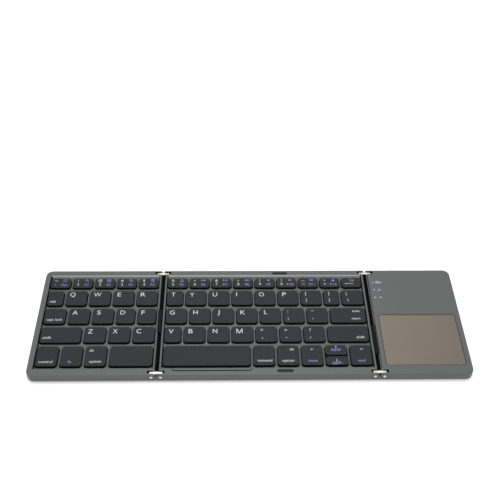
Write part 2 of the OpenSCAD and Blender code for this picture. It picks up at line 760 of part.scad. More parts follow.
function light_box(i, by) =
    let (y = rear_y - light_rear - i * light_pitch)
    grown([light_x - light_w / 2, light_x + light_w / 2, y - light_d / 2, y + light_d / 2], by);

module touchpad_plate() {
    color("#857c70") on_feet() slab(pad_box, pad_z1 - pad_t, pad_z1, pad_corner_r);
}

module touchpad_board() {
    color(board_green) on_feet()
        slab(pad_box, pad_board_z1 - board_t, pad_board_z1, pad_corner_r);
}

board_z = port_z - board_t;
board_gap = 0.3;      // gap between the main board and the walls
board_y1 = block_y - board_gap;
board_box = [right_x0 + wall_t + 2 * board_gap, right_x1 - wall_t - board_gap,
    board_y1 - board_d, board_y1];
standoffs_at = [for (x = [board_box[0] + standoff_d, board_box[1] - 4 * standoff_d])
    for (y = [board_box[2] + standoff_d, board_box[3] - standoff_d]) [x, y]];
// Chip and radio can on the main board, as [x, y, width, depth, height]
board_parts = [[18, 14, 7, 7, 0.9], [32, 12, 10, 12, 1.4]];

module main_board() {
    color(board_green) on_feet() {
        slab(board_box, board_z, board_z + board_t);
        for (at = standoffs_at) translate([at[0], at[1], floor_t])
            cylinder(d = standoff_d, h = board_z - floor_t + eps);
        for (chip = board_parts)
            translate([board_box[0] + chip[0], board_box[2] + chip[1], board_z + board_t - eps])
                cube([chip[2], chip[3], chip[4] + eps]);
    }
}

module battery() {
    x = (right_x0 + right_x1) / 2;
    y = (-rear_y + wall_t + board_box[2]) / 2;
    color("#b7babd") on_feet()
        slab([x - battery_w / 2, x + battery_w / 2, y - battery_d / 2, y + battery_d / 2],
            floor_t, floor_t + battery_t, battery_corner_r);
}

module charging_port() {
    box = [port_x0, port_x0 + port_d, port_y - port_w / 2, port_y + port_w / 2];
    middle_z = port_z + port_h / 2;
    color(steel) on_feet() {
        difference() {
            slab(box, port_z, port_z + port_h);
            slab([box[0] + 2 * port_wall, box[1] + 1, box[2] + port_wall, box[3] - port_wall],
                port_z + port_wall, port_z + port_h - port_wall);
        }
        // tongue with the contacts
        slab([box[0] + port_wall, box[1] - 2 * port_wall, box[2] + port_w / 5, box[3] - port_w / 5],
            middle_z - port_wall, middle_z + port_wall);
    }
}

module status_lights() {
    color("#dfe3ea") on_feet() for (i = [0:2])
        slab(light_box(i, 0), shell_t - pad_top_t - light_pipe_l, shell_t + fit);
}

// ---- Hinges ----

// Link outline in X and Z: flat on top, round about the pins at its upper ends,
// and tapering to a smaller round below
link_turn = asin(link_rise / link_end_r);
link_taper = acos(min(1, link_drop / link_end_r));
function link_outline(x_fold) = concat(
    arc(x_fold + pin_spacing / 2, pin_z, link_drop, -90, -link_taper, 12),
    arc(x_fold + pin_spacing / 2, pin_z, link_end_r, 0, link_turn, 12),
    arc(x_fold - pin_spacing / 2, pin_z, link_end_r, 180 - link_turn, 180, 12),
    arc(x_fold - pin_spacing / 2, pin_z, link_drop, 180 + link_taper, 270, 12));

module hinge_links(x_fold) {
    color(steel) on_feet() for (y = [-link_y, link_y]) difference() {
        translate([0, y, 0]) rotate([90, 0, 0]) linear_extrude(link_t, center = true)
            polygon(link_outline(x_fold));
        for (side = [-1, 1])
            rod(x_fold + side * pin_spacing / 2, pin_z, pin_d + 2 * pin_play,
                y - link_t, y + link_t);
    }
}

module left_hinge_links() { hinge_links(left_fold_x); }
module right_hinge_links() { hinge_links(right_fold_x); }

module hinge_pins(xs) {
    color(steel) on_feet() for (x = xs) for (mirrored = [0, 1]) mirror([0, mirrored, 0])
        union() {
            rod(x, pin_z, pin_d, block_y + part_gap, rear_y - pin_recess_t + part_gap);
            rod(x, pin_z, pin_head_d, rear_y - pin_recess_t, rear_y - part_gap);
        }
}

module left_hinge_pins() { hinge_pins([left_pins_x[0]]); }
module middle_hinge_pins() { hinge_pins([left_pins_x[1], right_pins_x[0]]); }
module right_hinge_pins() { hinge_pins([right_pins_x[1]]); }

// Rubber strip in the trough over a fold, clear of both rounded ends
function trough_half(z) = pin_spacing / 2 - sqrt(pow(end_r, 2) - pow(z - pin_z, 2)) - strip_clear;
strip_edge = 0.15;     // half width of a strip's lower edge
strip_steps = 6;
function strip_side(x_fold, side) = [for (i = [0:strip_steps])
    let (z = strip_top_z - strip_h + strip_h * (side > 0 ? i : strip_steps - i) / strip_steps)
    [x_fold + side * max(trough_half(z), strip_edge), z]];

module cable_strip(x_fold, y, length) {
    color(rubber) on_feet() translate([0, y, 0]) rotate([90, 0, 0])
        linear_extrude(length, center = true)
        polygon(concat(strip_side(x_fold, 1), strip_side(x_fold, -1)));
}

module left_cable_strip() { cable_strip(left_fold_x, left_strip_y, left_strip_l); }
module right_cable_strip() { cable_strip(right_fold_x, right_strip_y, right_strip_l); }

// Flat cable: level across the fold, then down onto the membrane or board
cable_run = 2;        // half of the level stretch
cable_drop = 1.6;     // length of each slope
cable_foot = 1.2;     // end that lies inside the panel
function cable_path(x_fold, low_left, low_right) = [
    [x_fold - cable_run - cable_drop - cable_foot, low_left],
    [x_fold - cable_run - cable_drop, low_left],
    [x_fold - cable_run, cable_z], [x_fold + cable_run, cable_z],
    [x_fold + cable_run + cable_drop, low_right],
    [x_fold + cable_run + cable_drop + cable_foot, low_right]];
module flat_cable(x_fold, y, low_left, low_right) {
    path = cable_path(x_fold, low_left, low_right);
    color("#b5782c") on_feet() translate([0, y, 0]) rotate([90, 0, 0])
        linear_extrude(cable_w, center = true)
        polygon(concat(path, [for (i = [len(path) - 1:-1:0]) path[i] + [0, cable_t]]));
}

module left_flat_cable() { flat_cable(left_fold_x, left_strip_y, sheet_top, sheet_top); }
module right_flat_cable() { flat_cable(right_fold_x, right_strip_y, sheet_top, floor_t); }

// ---- Under the keys ----

plate_lap = 0.4;       // how far the plates reach past the well, under its walls

module key_plate(well, z, t) {
    slab(grown([well[0], well[1], well_y0, well_y1], plate_lap), z, z + t);
}

module left_support_plate() { color(steel) on_feet() key_plate(left_well, floor_t, plate_t); }
module middle_support_plate() { color(steel) on_feet() key_plate(middle_well, floor_t, plate_t); }
module left_membrane() {
    color(plastic_white) on_feet() key_plate(left_well, membrane_z, membrane_t);
}
module middle_membrane() {
    color(plastic_white) on_feet() key_plate(middle_well, membrane_z, membrane_t);
}

function center_of(key) = [(key[0] + key[1]) / 2, (key[2] + key[3]) / 2];

module dome_sheet(well, keys) {
    dome_h = plunger_z - sheet_z;
    color("#c8c4bc") on_feet() difference() {
        union() {
            key_plate(well, sheet_z, sheet_t);
            for (key = keys) translate([center_of(key)[0], center_of(key)[1], sheet_z])
                cylinder(d1 = dome_d, d2 = dome_top_d, h = dome_h);
        }
        for (key = keys) translate([center_of(key)[0], center_of(key)[1], sheet_z - eps])
            cylinder(d1 = dome_d - 2 * dome_wall, d2 = dome_top_d - 2 * dome_wall,
                h = dome_h - dome_wall);
    }
}

module left_dome_sheet() { dome_sheet(left_well, left_keys); }
module middle_dome_sheet() { dome_sheet(middle_well, middle_keys); }

// Two crossed arms, each a flat frame, one inside the other
module arm(w, slope) {
    rotate([slope, 0, 0]) difference() {
        cube([w, scissor_l, scissor_t], center = true);
        cube([w - 2 * scissor_bar, scissor_l - 2 * scissor_bar, scissor_t + 1], center = true);
    }
}

// Wide keys have a scissor near each end and a dome between them
function scissor_offsets(key) =
    let (reach = (key[1] - key[0]) / 2 - 2 * cap_wall - scissor_w / 2)
    reach > scissor_w / 2 + dome_d / 2 ? [-reach, reach] : [0];

module scissors(keys) {
    rise = scissor_l / 2 * sin(scissor_slope) + scissor_t / 2;
    inner_w = scissor_w - 2 * scissor_bar - 3 * part_gap;
    color(plastic_white) on_feet() for (key = keys) for (dx = scissor_offsets(key))
        translate([center_of(key)[0] + dx, center_of(key)[1], sheet_top + rise + part_gap]) {
            arm(scissor_w, scissor_slope);
            arm(inner_w, -scissor_slope);
        }
}

module left_scissors() { scissors(left_keys); }
module middle_scissors() { scissors(middle_keys); }

// ---- Feet and screws ----

module feet(x0, x1) {
    color(rubber) for (at = feet_of(x0, x1)) translate([at[0], at[1], 0])
        cylinder(d = foot_d, h = foot_h + foot_seat);
}

module left_feet() { feet(left_x0, left_x1); }
module middle_feet() { feet(middle_x0, middle_x1); }
module right_feet() { feet(right_x0, right_x1); }

module screws(places) {
    color(steel) on_feet() for (at = places) translate([at[0], at[1], 0]) difference() {
        union() {
            translate([0, 0, fit]) cylinder(d = screw_head_d, h = screw_head_t);
            translate([0, 0, part_gap]) cylinder(d = screw_d, h = screw_head_t + screw_l - part_gap);
        }
        for (turn = [0, 90]) rotate(turn)
            translate([-cross_l / 2, -cross_w / 2, -1]) cube([cross_l, cross_w, 1 + cross_t]);
    }
}

module left_screws() { screws(left_screws_at); }
module middle_screws() { screws(middle_screws_at); }
module right_screws() { screws(right_screws_at); }

// ---- Keycaps ----

module keycap(key) {
    difference() {
        slab(key, key_skirt_z, key_top_z, key_corner_r);
        slab(grown(key, -cap_wall), key_skirt_z - 1, key_top_z - cap_top_t,
            key_corner_r - cap_wall);
    }
    translate([center_of(key)[0], center_of(key)[1], plunger_z])
        cylinder(d = plunger_d, h = key_top_z - cap_top_t - plunger_z + eps);
}

module keycaps(keys) {
    color(key_black) on_feet() for (key = keys) keycap(key);
}

module left_number_keys() { keycaps(left_row1); }
module tab_key() { keycaps([left_row2[0]]); }
module qwer_keys() { keycaps(pick(left_row2, 1, 4)); }
module caps_lock_key() { keycaps([left_row3[0]]); }
module asdf_keys() { keycaps(pick(left_row3, 1, 4)); }
module left_shift_key() { keycaps([left_row4[0]]); }
module zxc_keys() { keycaps(pick(left_row4, 1, 3)); }
module control_key() { keycaps([left_row5[0]]); }
module fn_key() { keycaps([left_row5[1]]); }
module left_option_key() { keycaps([left_row5[2]]); }
module left_space_key() { keycaps([left_row5[3]]); }
module middle_number_keys() { keycaps(pick(middle_row1, 0, 7)); }
module backspace_key() { keycaps([middle_row1[8]]); }
module upper_letter_keys() { keycaps(middle_row2); }
module home_letter_keys() { keycaps(pick(middle_row3, 0, 6)); }
module enter_key() { keycaps([middle_row3[7]]); }
module lower_letter_keys() { keycaps(pick(middle_row4, 0, 6)); }
module right_shift_key() { keycaps([middle_row4[7]]); }
module space_key() { keycaps([middle_row5[0]]); }
module right_modifier_keys() { keycaps(pick(middle_row5, 1, 2)); }
module left_arrow_key() { keycaps([middle_row5[3]]); }
module up_arrow_key() { keycaps([up_key]); }
module down_arrow_key() { keycaps([down_key]); }
module right_arrow_key() { keycaps([middle_row5[5]]); }

left_bottom_cover();
left_top_cover();
left_support_plate();
left_membrane();
left_dome_sheet();
left_scissors();
left_feet();
left_screws();
left_hinge_pins();
middle_bottom_cover();
middle_top_cover();
middle_support_plate();
middle_membrane();
middle_dome_sheet();
middle_scissors();
middle_feet();
middle_screws();
middle_hinge_pins();
rim_pads();
right_bottom_cover();
right_top_cover();
touchpad_plate();
touchpad_board();
main_board();
battery();
charging_port();
status_lights();
right_feet();
right_screws();
right_hinge_pins();
left_hinge_links();
right_hinge_links();
left_cable_strip();
right_cable_strip();
left_flat_cable();
right_flat_cable();
left_number_keys();
tab_key();
qwer_keys();
caps_lock_key();
asdf_keys();
left_shift_key();
zxc_keys();
control_key();
fn_key();
left_option_key();
left_space_key();
middle_number_keys();
backspace_key();
upper_letter_keys();
home_letter_keys();
enter_key();
lower_letter_keys();
right_shift_key();
space_key();
right_modifier_keys();
left_arrow_key();
up_arrow_key();
down_arrow_key();
right_arrow_key();
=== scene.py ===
# %% [markdown]
# # A folding keyboard, dressed in Blender
# The keyboard has three flat panels: letter keys on the left and middle ones, and a touchpad
# on the right one. The panels hang on short metal links, so that both sides fold over the
# middle. The exact solids come from the CAD model, already in metres and in the right place.
# Here they get rounded edges, real keycaps, printed legends and finishes. Whatever has the
# right shape stays as it is; only keycaps and what gives way are modelled again or cut apart.

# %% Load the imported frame
import math

import bmesh
import bpy
import numpy as np
from mathutils import Matrix, Vector


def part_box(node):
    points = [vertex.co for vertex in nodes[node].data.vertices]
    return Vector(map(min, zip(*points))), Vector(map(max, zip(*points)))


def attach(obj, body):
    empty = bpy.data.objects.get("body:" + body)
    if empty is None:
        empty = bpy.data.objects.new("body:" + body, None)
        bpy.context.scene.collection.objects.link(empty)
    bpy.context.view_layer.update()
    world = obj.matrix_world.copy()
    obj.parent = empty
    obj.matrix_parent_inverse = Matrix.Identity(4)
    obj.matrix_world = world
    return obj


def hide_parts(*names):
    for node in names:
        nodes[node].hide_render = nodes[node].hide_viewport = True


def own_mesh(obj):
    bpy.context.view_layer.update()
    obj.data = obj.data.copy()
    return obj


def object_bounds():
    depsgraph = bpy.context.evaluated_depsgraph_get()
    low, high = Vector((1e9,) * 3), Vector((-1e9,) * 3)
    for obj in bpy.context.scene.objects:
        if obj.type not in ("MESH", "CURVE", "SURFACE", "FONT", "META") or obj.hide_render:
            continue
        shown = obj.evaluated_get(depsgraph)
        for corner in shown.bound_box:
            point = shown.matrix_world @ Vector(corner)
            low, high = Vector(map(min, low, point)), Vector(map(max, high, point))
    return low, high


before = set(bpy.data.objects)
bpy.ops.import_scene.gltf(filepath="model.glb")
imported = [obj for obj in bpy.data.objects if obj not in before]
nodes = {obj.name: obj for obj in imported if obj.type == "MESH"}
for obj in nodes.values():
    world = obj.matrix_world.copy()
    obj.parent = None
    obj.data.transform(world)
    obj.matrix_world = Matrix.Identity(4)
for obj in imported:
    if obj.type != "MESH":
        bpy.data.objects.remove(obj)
cad_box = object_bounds()
MM = 0.001
WELD = 1e-6                 # CAD points closer than this are the same point
folds = [(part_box(a + "_bottom_cover")[1].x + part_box(b + "_bottom_cover")[0].x) / 2
         for a, b in (("left", "middle"), ("middle", "right"))]
wells = []
for first, last in (("control_key", "left_space_key"), ("space_key", "right_arrow_key")):
    start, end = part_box(first)[0].x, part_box(last)[1].x
    wells.append(((start + end) / 2, (end - start) / 2))
print("CAD box in mm:", [[round(v / MM, 2) for v in corner] for corner in cad_box],
      "folds at", [round(x / MM, 2) for x in folds],
      "key wells", [[round(v / MM, 2) for v in well] for well in wells])

# %% [markdown]
# ## The camera
# A product view is usually taken from the front, about 45 degrees above the table, with a
# long lens so that the far edge isn't much smaller than the near one. The view is nearly
# level; the small roll and yaw are those of a hand-set tripod. Three unit vectors say where
# the camera's right, up and forward point, and together they are its rotation matrix.

# %% Camera
LENS_MM, SENSOR_MM = 60.18, 36.0
CAMERA_AT = Vector((-13.915, -391.148, 464.8)) * MM
PITCH, YAW, ROLL = (math.radians(a) for a in (44.6606, 1.8876, 1.2212))

forward = Vector((math.sin(YAW) * math.cos(PITCH), math.cos(YAW) * math.cos(PITCH),
                  -math.sin(PITCH)))
level = Vector((math.cos(YAW), -math.sin(YAW), 0))
lift = level.cross(forward)
right = math.cos(ROLL) * level + math.sin(ROLL) * lift
up = -math.sin(ROLL) * level + math.cos(ROLL) * lift

camera_data = bpy.data.cameras.new("studio_camera")
camera_data.lens, camera_data.sensor_width = LENS_MM, SENSOR_MM
camera_data.clip_start, camera_data.clip_end = 0.01, 20
camera = bpy.data.objects.new("studio_camera", camera_data)
bpy.context.scene.collection.objects.link(camera)
turn = Matrix((right, up, -forward)).transposed()
camera.matrix_world = Matrix.Translation(CAMERA_AT) @ turn.to_4x4()
bpy.context.scene.camera = camera
print("camera looks down", round(math.degrees(PITCH), 1), "degrees from",
      [round(v, 3) for v in CAMERA_AT])

# %% [markdown]
# ## The studio
# A white table and white surroundings are the usual product background. If the table were
# made white with strong lamps, the object would wash out. Instead the lamps stay at a plain
# level, and the table and the surroundings only show as white to the camera and in
# reflections and glass. The table keeps a part that is lit like any other surface, so the
# keyboard's shadow still falls on it. Its white glow also fades out under the keyboard and
# close beside it, which paints a soft contact shadow there.

# %% Table, surroundings and lamps
WORLD_LIGHT = 0.44          # soft light from all round, where 1 shows a colour as written
TABLE_GLOW, TABLE_COLOR = 0.85, (0.62, 0.62, 0.62, 1)
COVERED_WITHIN = 0.004      # the table doesn't glow where something is this close above it


def seen_directly(tree):
    """1 for what the camera, a reflection or glass sees, 0 for light that falls on things."""
    rays = tree.nodes.new("ShaderNodeLightPath")
    total = rays.outputs["Is Camera Ray"]
    for name in ("Is Glossy Ray", "Is Transmission Ray"):
        add = tree.nodes.new("ShaderNodeMath")
        add.operation, add.use_clamp = "ADD", True
        tree.links.new(total, add.inputs[0])
        tree.links.new(rays.outputs[name], add.inputs[1])
        total = add.outputs[0]
    return total


world = bpy.data.worlds.new("studio")
bpy.context.scene.world = world
world.use_nodes = True
sky = world.node_tree
sky.nodes.clear()
soft, white = (sky.nodes.new("ShaderNodeBackground") for _ in range(2))
soft.inputs["Color"].default_value = (1, 1, 1, 1)
soft.inputs["Strength"].default_value = WORLD_LIGHT
white.inputs["Strength"].default_value = 1.0
white.inputs["Color"].default_value = (1, 1, 1, 1)
choose = sky.nodes.new("ShaderNodeMixShader")
sky_out = sky.nodes.new("ShaderNodeOutputWorld")
sky.links.new(seen_directly(sky), choose.inputs["Fac"])
sky.links.new(soft.outputs[0], choose.inputs[1])
sky.links.new(white.outputs[0], choose.inputs[2])
sky.links.new(choose.outputs[0], sky_out.inputs["Surface"])

table_mesh = bpy.data.meshes.new("table")
table_mesh.from_pydata([(-3, -3, 0), (3, -3, 0), (3, 3, 0), (-3, 3, 0)], [], [(0, 1, 2, 3)])
table = bpy.data.objects.new("table", table_mesh)
bpy.context.scene.collection.objects.link(table)
table.location.z = -0.1 * MM         # clear of the feet

table_finish = bpy.data.materials.new("table_white")
table_finish.use_nodes = True
paint = table_finish.node_tree
paint.nodes.clear()
matt = paint.nodes.new("ShaderNodeBsdfDiffuse")
matt.inputs["Color"].default_value = TABLE_COLOR
glow = paint.nodes.new("ShaderNodeEmission")
glow.inputs["Color"].default_value = (1, 1, 1, 1)
glow_level = paint.nodes.new("ShaderNodeMath")
glow_level.operation = "MULTIPLY"
glow_level.inputs[1].default_value = TABLE_GLOW
# painted shadow: the glow fades where the keyboard is close above the table
glow_painted_shadow = paint.nodes.new("ShaderNodeAmbientOcclusion")
glow_painted_shadow.samples = 8
glow_painted_shadow.inputs["Distance"].default_value = COVERED_WITHIN
paint.links.new(glow_painted_shadow.outputs["AO"], glow_level.inputs[0])
only_seen = paint.nodes.new("ShaderNodeMath")
only_seen.operation = "MULTIPLY"
paint.links.new(glow_level.outputs[0], only_seen.inputs[0])
paint.links.new(seen_directly(paint), only_seen.inputs[1])
paint.links.new(only_seen.outputs[0], glow.inputs["Strength"])
both = paint.nodes.new("ShaderNodeAddShader")
paint_out = paint.nodes.new("ShaderNodeOutputMaterial")
paint.links.new(matt.outputs[0], both.inputs[0])
paint.links.new(glow.outputs[0], both.inputs[1])
paint.links.new(both.outputs[0], paint_out.inputs["Surface"])
table.data.materials.append(table_finish)


def softbox(name, at, size, watts):
    """A square area lamp at a place, aimed at the keyboard's middle."""
    data = bpy.data.lights.new(name, "AREA")
    data.shape, data.size, data.energy = "SQUARE", size, watts
    lamp = bpy.data.objects.new(name, data)
    bpy.context.scene.collection.objects.link(lamp)
    lamp.location = at
    lamp.rotation_euler = (-Vector(at)).to_track_quat("-Z", "Y").to_euler()
    return lamp


for spot in (("front_box", (-0.05, -0.80, 0.86), 0.5, 3.4),
             ("top_box", (-0.02, 0.05, 0.34), 0.22, 0.50)):
    lamp = softbox(*spot)
    print(lamp.name, "at", [round(v, 2) for v in lamp.location], spot[3], "W")

bpy.context.scene.view_settings.view_transform = "Standard"

# %% [markdown]
# ## Effects that several finishes share
# Nothing real has one flat colour. Moulded and painted plastic has a fine grain that breaks
# up its highlights, and its colour drifts a little over a few centimetres. Handled edges are
# polished brighter than the faces, and the same lighter edge also stands for a painted
# highlight. Recesses get a painted shade. Brushed metal has streaks along one direction. Each
# effect is a node group with named sockets, so that a material only says how much of it there is.

# %% Group: fine grain
def new_group(name, inputs, outputs):
    """An empty shader node group; inputs and outputs are (name, kind, value)."""
    group = bpy.data.node_groups.new(name, "ShaderNodeTree")
    for label, kind, value in inputs:
        socket = group.interface.new_socket(label, in_out="INPUT", socket_type=kind)
        socket.default_value = value
    for label, kind in outputs:
        group.interface.new_socket(label, in_out="OUTPUT", socket_type=kind)
    return group, group.nodes.new("NodeGroupInput"), group.nodes.new("NodeGroupOutput")


FLOAT, COLOR, VECTOR = "NodeSocketFloat", "NodeSocketColor", "NodeSocketVector"
MIX_A, MIX_B, MIX_RESULT = 6, 7, 2      # the colour sockets of a Mix node


def math_node(tree, kind, a, b=None, c=None, clamp=False):
    """A math node; a, b and c are sockets or numbers. Returns its result."""
    made = tree.nodes.new("ShaderNodeMath")
    made.operation, made.use_clamp = kind, clamp
    for socket, value in zip(made.inputs, (a, b, c)):
        if value is None:
            continue
        if isinstance(value, (int, float)):
            socket.default_value = value
        else:
            tree.links.new(value, socket)
    return made.outputs[0]


def noise(tree, where, scale, detail=2.0, rough=0.5):
    """Noise from -0.5 to 0.5 at a scale in features per metre."""
    made = tree.nodes.new("ShaderNodeTexNoise")
    made.inputs["Detail"].default_value = detail
    made.inputs["Roughness"].default_value = rough
    tree.links.new(where, made.inputs["Vector"])
    if isinstance(scale, (int, float)):
        made.inputs["Scale"].default_value = scale
    else:
        tree.links.new(scale, made.inputs["Scale"])
    return math_node(tree, "SUBTRACT", made.outputs["Fac"], 0.5)


def shifted_value(tree, color, amount):
    """The colour, lighter or darker by amount."""
    factor = math_node(tree, "ADD", amount, 1.0)
    scaled = tree.nodes.new("ShaderNodeVectorMath")
    scaled.operation = "SCALE"
    tree.links.new(color, scaled.inputs[0])
    tree.links.new(factor, scaled.inputs["Scale"])
    return scaled.outputs[0]


grain_group, g_in, g_out = new_group(
    "fine_grain",
    [("Color", COLOR, (0.2, 0.2, 0.2, 1)), ("Grain Size", FLOAT, 4000.0),
     ("Grain Contrast", FLOAT, 0.1), ("Cloud Contrast", FLOAT, 0.05),
     ("Roughness", FLOAT, 0.5), ("Roughness Spread", FLOAT, 0.1)],
    [("Color", COLOR), ("Roughness", FLOAT), ("Height", FLOAT)])
place = grain_group.nodes.new("ShaderNodeTexCoord").outputs["Object"]
fine = noise(grain_group, place, g_in.outputs["Grain Size"], 3.0, 0.6)
cloud = noise(grain_group, place, 45.0, 2.0)
speck = math_node(grain_group, "MULTIPLY", fine, g_in.outputs["Grain Contrast"])
drift = math_node(grain_group, "MULTIPLY", cloud, g_in.outputs["Cloud Contrast"])
tone = math_node(grain_group, "ADD", speck, drift)
uneven = math_node(grain_group, "MULTIPLY_ADD", fine, g_in.outputs["Roughness Spread"],
                   g_in.outputs["Roughness"])
grain_group.links.new(shifted_value(grain_group, g_in.outputs["Color"], tone),
                      g_out.inputs["Color"])
grain_group.links.new(uneven, g_out.inputs["Roughness"])
grain_group.links.new(fine, g_out.inputs["Height"])
print("group", grain_group.name, "has", len(grain_group.nodes), "nodes")

# %% [markdown]
# ### Worn edges and painted highlights
# Where do hands polish a case? On its edges. The same lighter edge also paints the highlight
# that a rounded edge would catch, and on the shell and the touchpad it is mostly that painted
# highlight. The Bevel node gives the normal that a surface would have if its edges were
# rounded. Where that differs from the real normal, there is an edge nearby, so one minus their
# dot product makes an edge mask, and noise breaks it up.

# %% Group: worn edges and painted highlights
wear_and_highlight_group, w_in, w_out = new_group(
    "worn_and_highlit_edges",
    [("Color", COLOR, (0.2, 0.2, 0.2, 1)), ("Edge Color", COLOR, (0.4, 0.4, 0.4, 1)),
     ("Amount", FLOAT, 0.5), ("Radius", FLOAT, 0.0004)],
    [("Color", COLOR), ("Mask", FLOAT)])
rounded_edge = wear_and_highlight_group.nodes.new("ShaderNodeBevel")
rounded_edge.samples = 4
wear_and_highlight_group.links.new(w_in.outputs["Radius"], rounded_edge.inputs["Radius"])
true_normal = wear_and_highlight_group.nodes.new("ShaderNodeNewGeometry").outputs["Normal"]
same = wear_and_highlight_group.nodes.new("ShaderNodeVectorMath")
same.operation = "DOT_PRODUCT"
wear_and_highlight_group.links.new(rounded_edge.outputs[0], same.inputs[0])
wear_and_highlight_group.links.new(true_normal, same.inputs[1])
edge = math_node(wear_and_highlight_group, "SUBTRACT", 1.0, same.outputs["Value"])
edge = math_node(wear_and_highlight_group, "MULTIPLY", edge, 3.0, clamp=True)
place = wear_and_highlight_group.nodes.new("ShaderNodeTexCoord").outputs["Object"]
patchy = math_node(wear_and_highlight_group, "MULTIPLY_ADD", noise(wear_and_highlight_group, place, 300.0, 3.0), 1.6, 0.8,
                   clamp=True)
mask = math_node(wear_and_highlight_group, "MULTIPLY", edge, patchy)
mask = math_node(wear_and_highlight_group, "MULTIPLY", mask, w_in.outputs["Amount"], clamp=True)
blend_colors = wear_and_highlight_group.nodes.new("ShaderNodeMix")
blend_colors.data_type = "RGBA"
wear_and_highlight_group.links.new(mask, blend_colors.inputs["Factor"])
wear_and_highlight_group.links.new(w_in.outputs["Color"], blend_colors.inputs[MIX_A])
wear_and_highlight_group.links.new(w_in.outputs["Edge Color"], blend_colors.inputs[MIX_B])
wear_and_highlight_group.links.new(blend_colors.outputs[MIX_RESULT], w_out.inputs["Color"])
wear_and_highlight_group.links.new(mask, w_out.inputs["Mask"])
print("group", wear_and_highlight_group.name, "has", len(wear_and_highlight_group.nodes), "nodes")

# %% [markdown]
# ### Painted shade in recesses
# Little light gets into the folds, the link notches and the gaps beside the keys, and their
# shade is painted into the colour here. The Ambient Occlusion node says how open the space
# around a point is. It can't tell the deck between the keys, which stays light, from the
# equally narrow folds. So what lies above the deck among the keys of a well counts as open,
# and the panel ends inside the folds count as closed, so they are painted dark whatever the
# light. The outer faces are left out, because the table would darken them. The bevel behind
# the number row gets a painted highlight: a light colour of its own.

# %% Group: painted shade in recesses
UNDERSIDE_Z, RIM_TOP_Z = 0.0012, 0.00795    # just above the feet, just below the rim's top
painted_shade_group, r_in, r_out = new_group(
    "painted_recess_shade",
    [("Color", COLOR, (0.2, 0.2, 0.2, 1)), ("Painted Shade Color", COLOR, (0.005, 0.005, 0.005, 1)),
     ("Reach", FLOAT, 0.004), ("Closed", FLOAT, 0.38), ("Open", FLOAT, 0.8),
     ("Deck Height", FLOAT, 0.0055), ("Well Middle", FLOAT, 0.0), ("Well Half", FLOAT, 0.043),
     ("Well A", FLOAT, -0.108), ("Half A", FLOAT, 0.04), ("Well B", FLOAT, 0.012),
     ("Half B", FLOAT, 0.073), ("Bevel Highlight Color", COLOR, (0.4, 0.4, 0.4, 1)),
     ("Bevel Middle", FLOAT, 0.04355), ("Bevel Half", FLOAT, 0.0004),
     ("Half Length", FLOAT, 0.15), ("Half Depth", FLOAT, 0.05),
     ("Fold A", FLOAT, -0.0646), ("Fold B", FLOAT, 0.0879), ("Fold Half Width", FLOAT, 0.001)],
    [("Color", COLOR), ("Mask", FLOAT)])
around = painted_shade_group.nodes.new("ShaderNodeAmbientOcclusion")
around.samples = 12
painted_shade_group.links.new(r_in.outputs["Reach"], around.inputs["Distance"])
place = painted_shade_group.nodes.new("ShaderNodeSeparateXYZ")
painted_shade_group.links.new(painted_shade_group.nodes.new("ShaderNodeTexCoord").outputs["Object"],
                       place.inputs[0])
outside = [math_node(painted_shade_group, "GREATER_THAN",
                     math_node(painted_shade_group, "ABSOLUTE", place.outputs[axis]),
                     r_in.outputs[limit])
           for axis, limit in (("X", "Half Length"), ("Y", "Half Depth"))]
underside = math_node(painted_shade_group, "LESS_THAN", place.outputs["Z"], UNDERSIDE_Z)
in_fold = math_node(painted_shade_group, "ADD", *[
    math_node(painted_shade_group, "COMPARE", place.outputs["X"], r_in.outputs[fold],
              r_in.outputs["Fold Half Width"]) for fold in ("Fold A", "Fold B")])
above_deck = math_node(painted_shade_group, "GREATER_THAN", place.outputs["Z"],
                       r_in.outputs["Deck Height"])
in_well = math_node(painted_shade_group, "MULTIPLY", above_deck,
                    math_node(painted_shade_group, "COMPARE", place.outputs["Y"],
                              r_in.outputs["Well Middle"], r_in.outputs["Well Half"]))
among_keys = math_node(painted_shade_group, "ADD", *[
    math_node(painted_shade_group, "COMPARE", place.outputs["X"], r_in.outputs["Well " + side],
              r_in.outputs["Half " + side]) for side in "AB"])
in_well = math_node(painted_shade_group, "MULTIPLY", in_well, among_keys)
# painted highlight: the bevel behind the number row gets a light colour of its own
on_highlit_bevel = math_node(painted_shade_group, "MULTIPLY",
                     math_node(painted_shade_group, "MULTIPLY", above_deck, among_keys),
                     math_node(painted_shade_group, "COMPARE", place.outputs["Y"],
                               r_in.outputs["Bevel Middle"], r_in.outputs["Bevel Half"]))
on_highlit_bevel = math_node(painted_shade_group, "MULTIPLY", on_highlit_bevel,
                     math_node(painted_shade_group, "LESS_THAN", place.outputs["Z"], RIM_TOP_Z))
openness = math_node(painted_shade_group, "MULTIPLY_ADD",
                     math_node(painted_shade_group, "ADD", around.outputs["AO"], in_well),
                     math_node(painted_shade_group, "SUBTRACT", 1.0, in_fold), outside[0])
openness = math_node(painted_shade_group, "ADD", openness,
                     math_node(painted_shade_group, "ADD", outside[1], underside))
opened = painted_shade_group.nodes.new("ShaderNodeMapRange")
opened.interpolation_type = "SMOOTHSTEP"
painted_shade_group.links.new(openness, opened.inputs["Value"])
painted_shade_group.links.new(r_in.outputs["Closed"], opened.inputs["From Min"])
painted_shade_group.links.new(r_in.outputs["Open"], opened.inputs["From Max"])
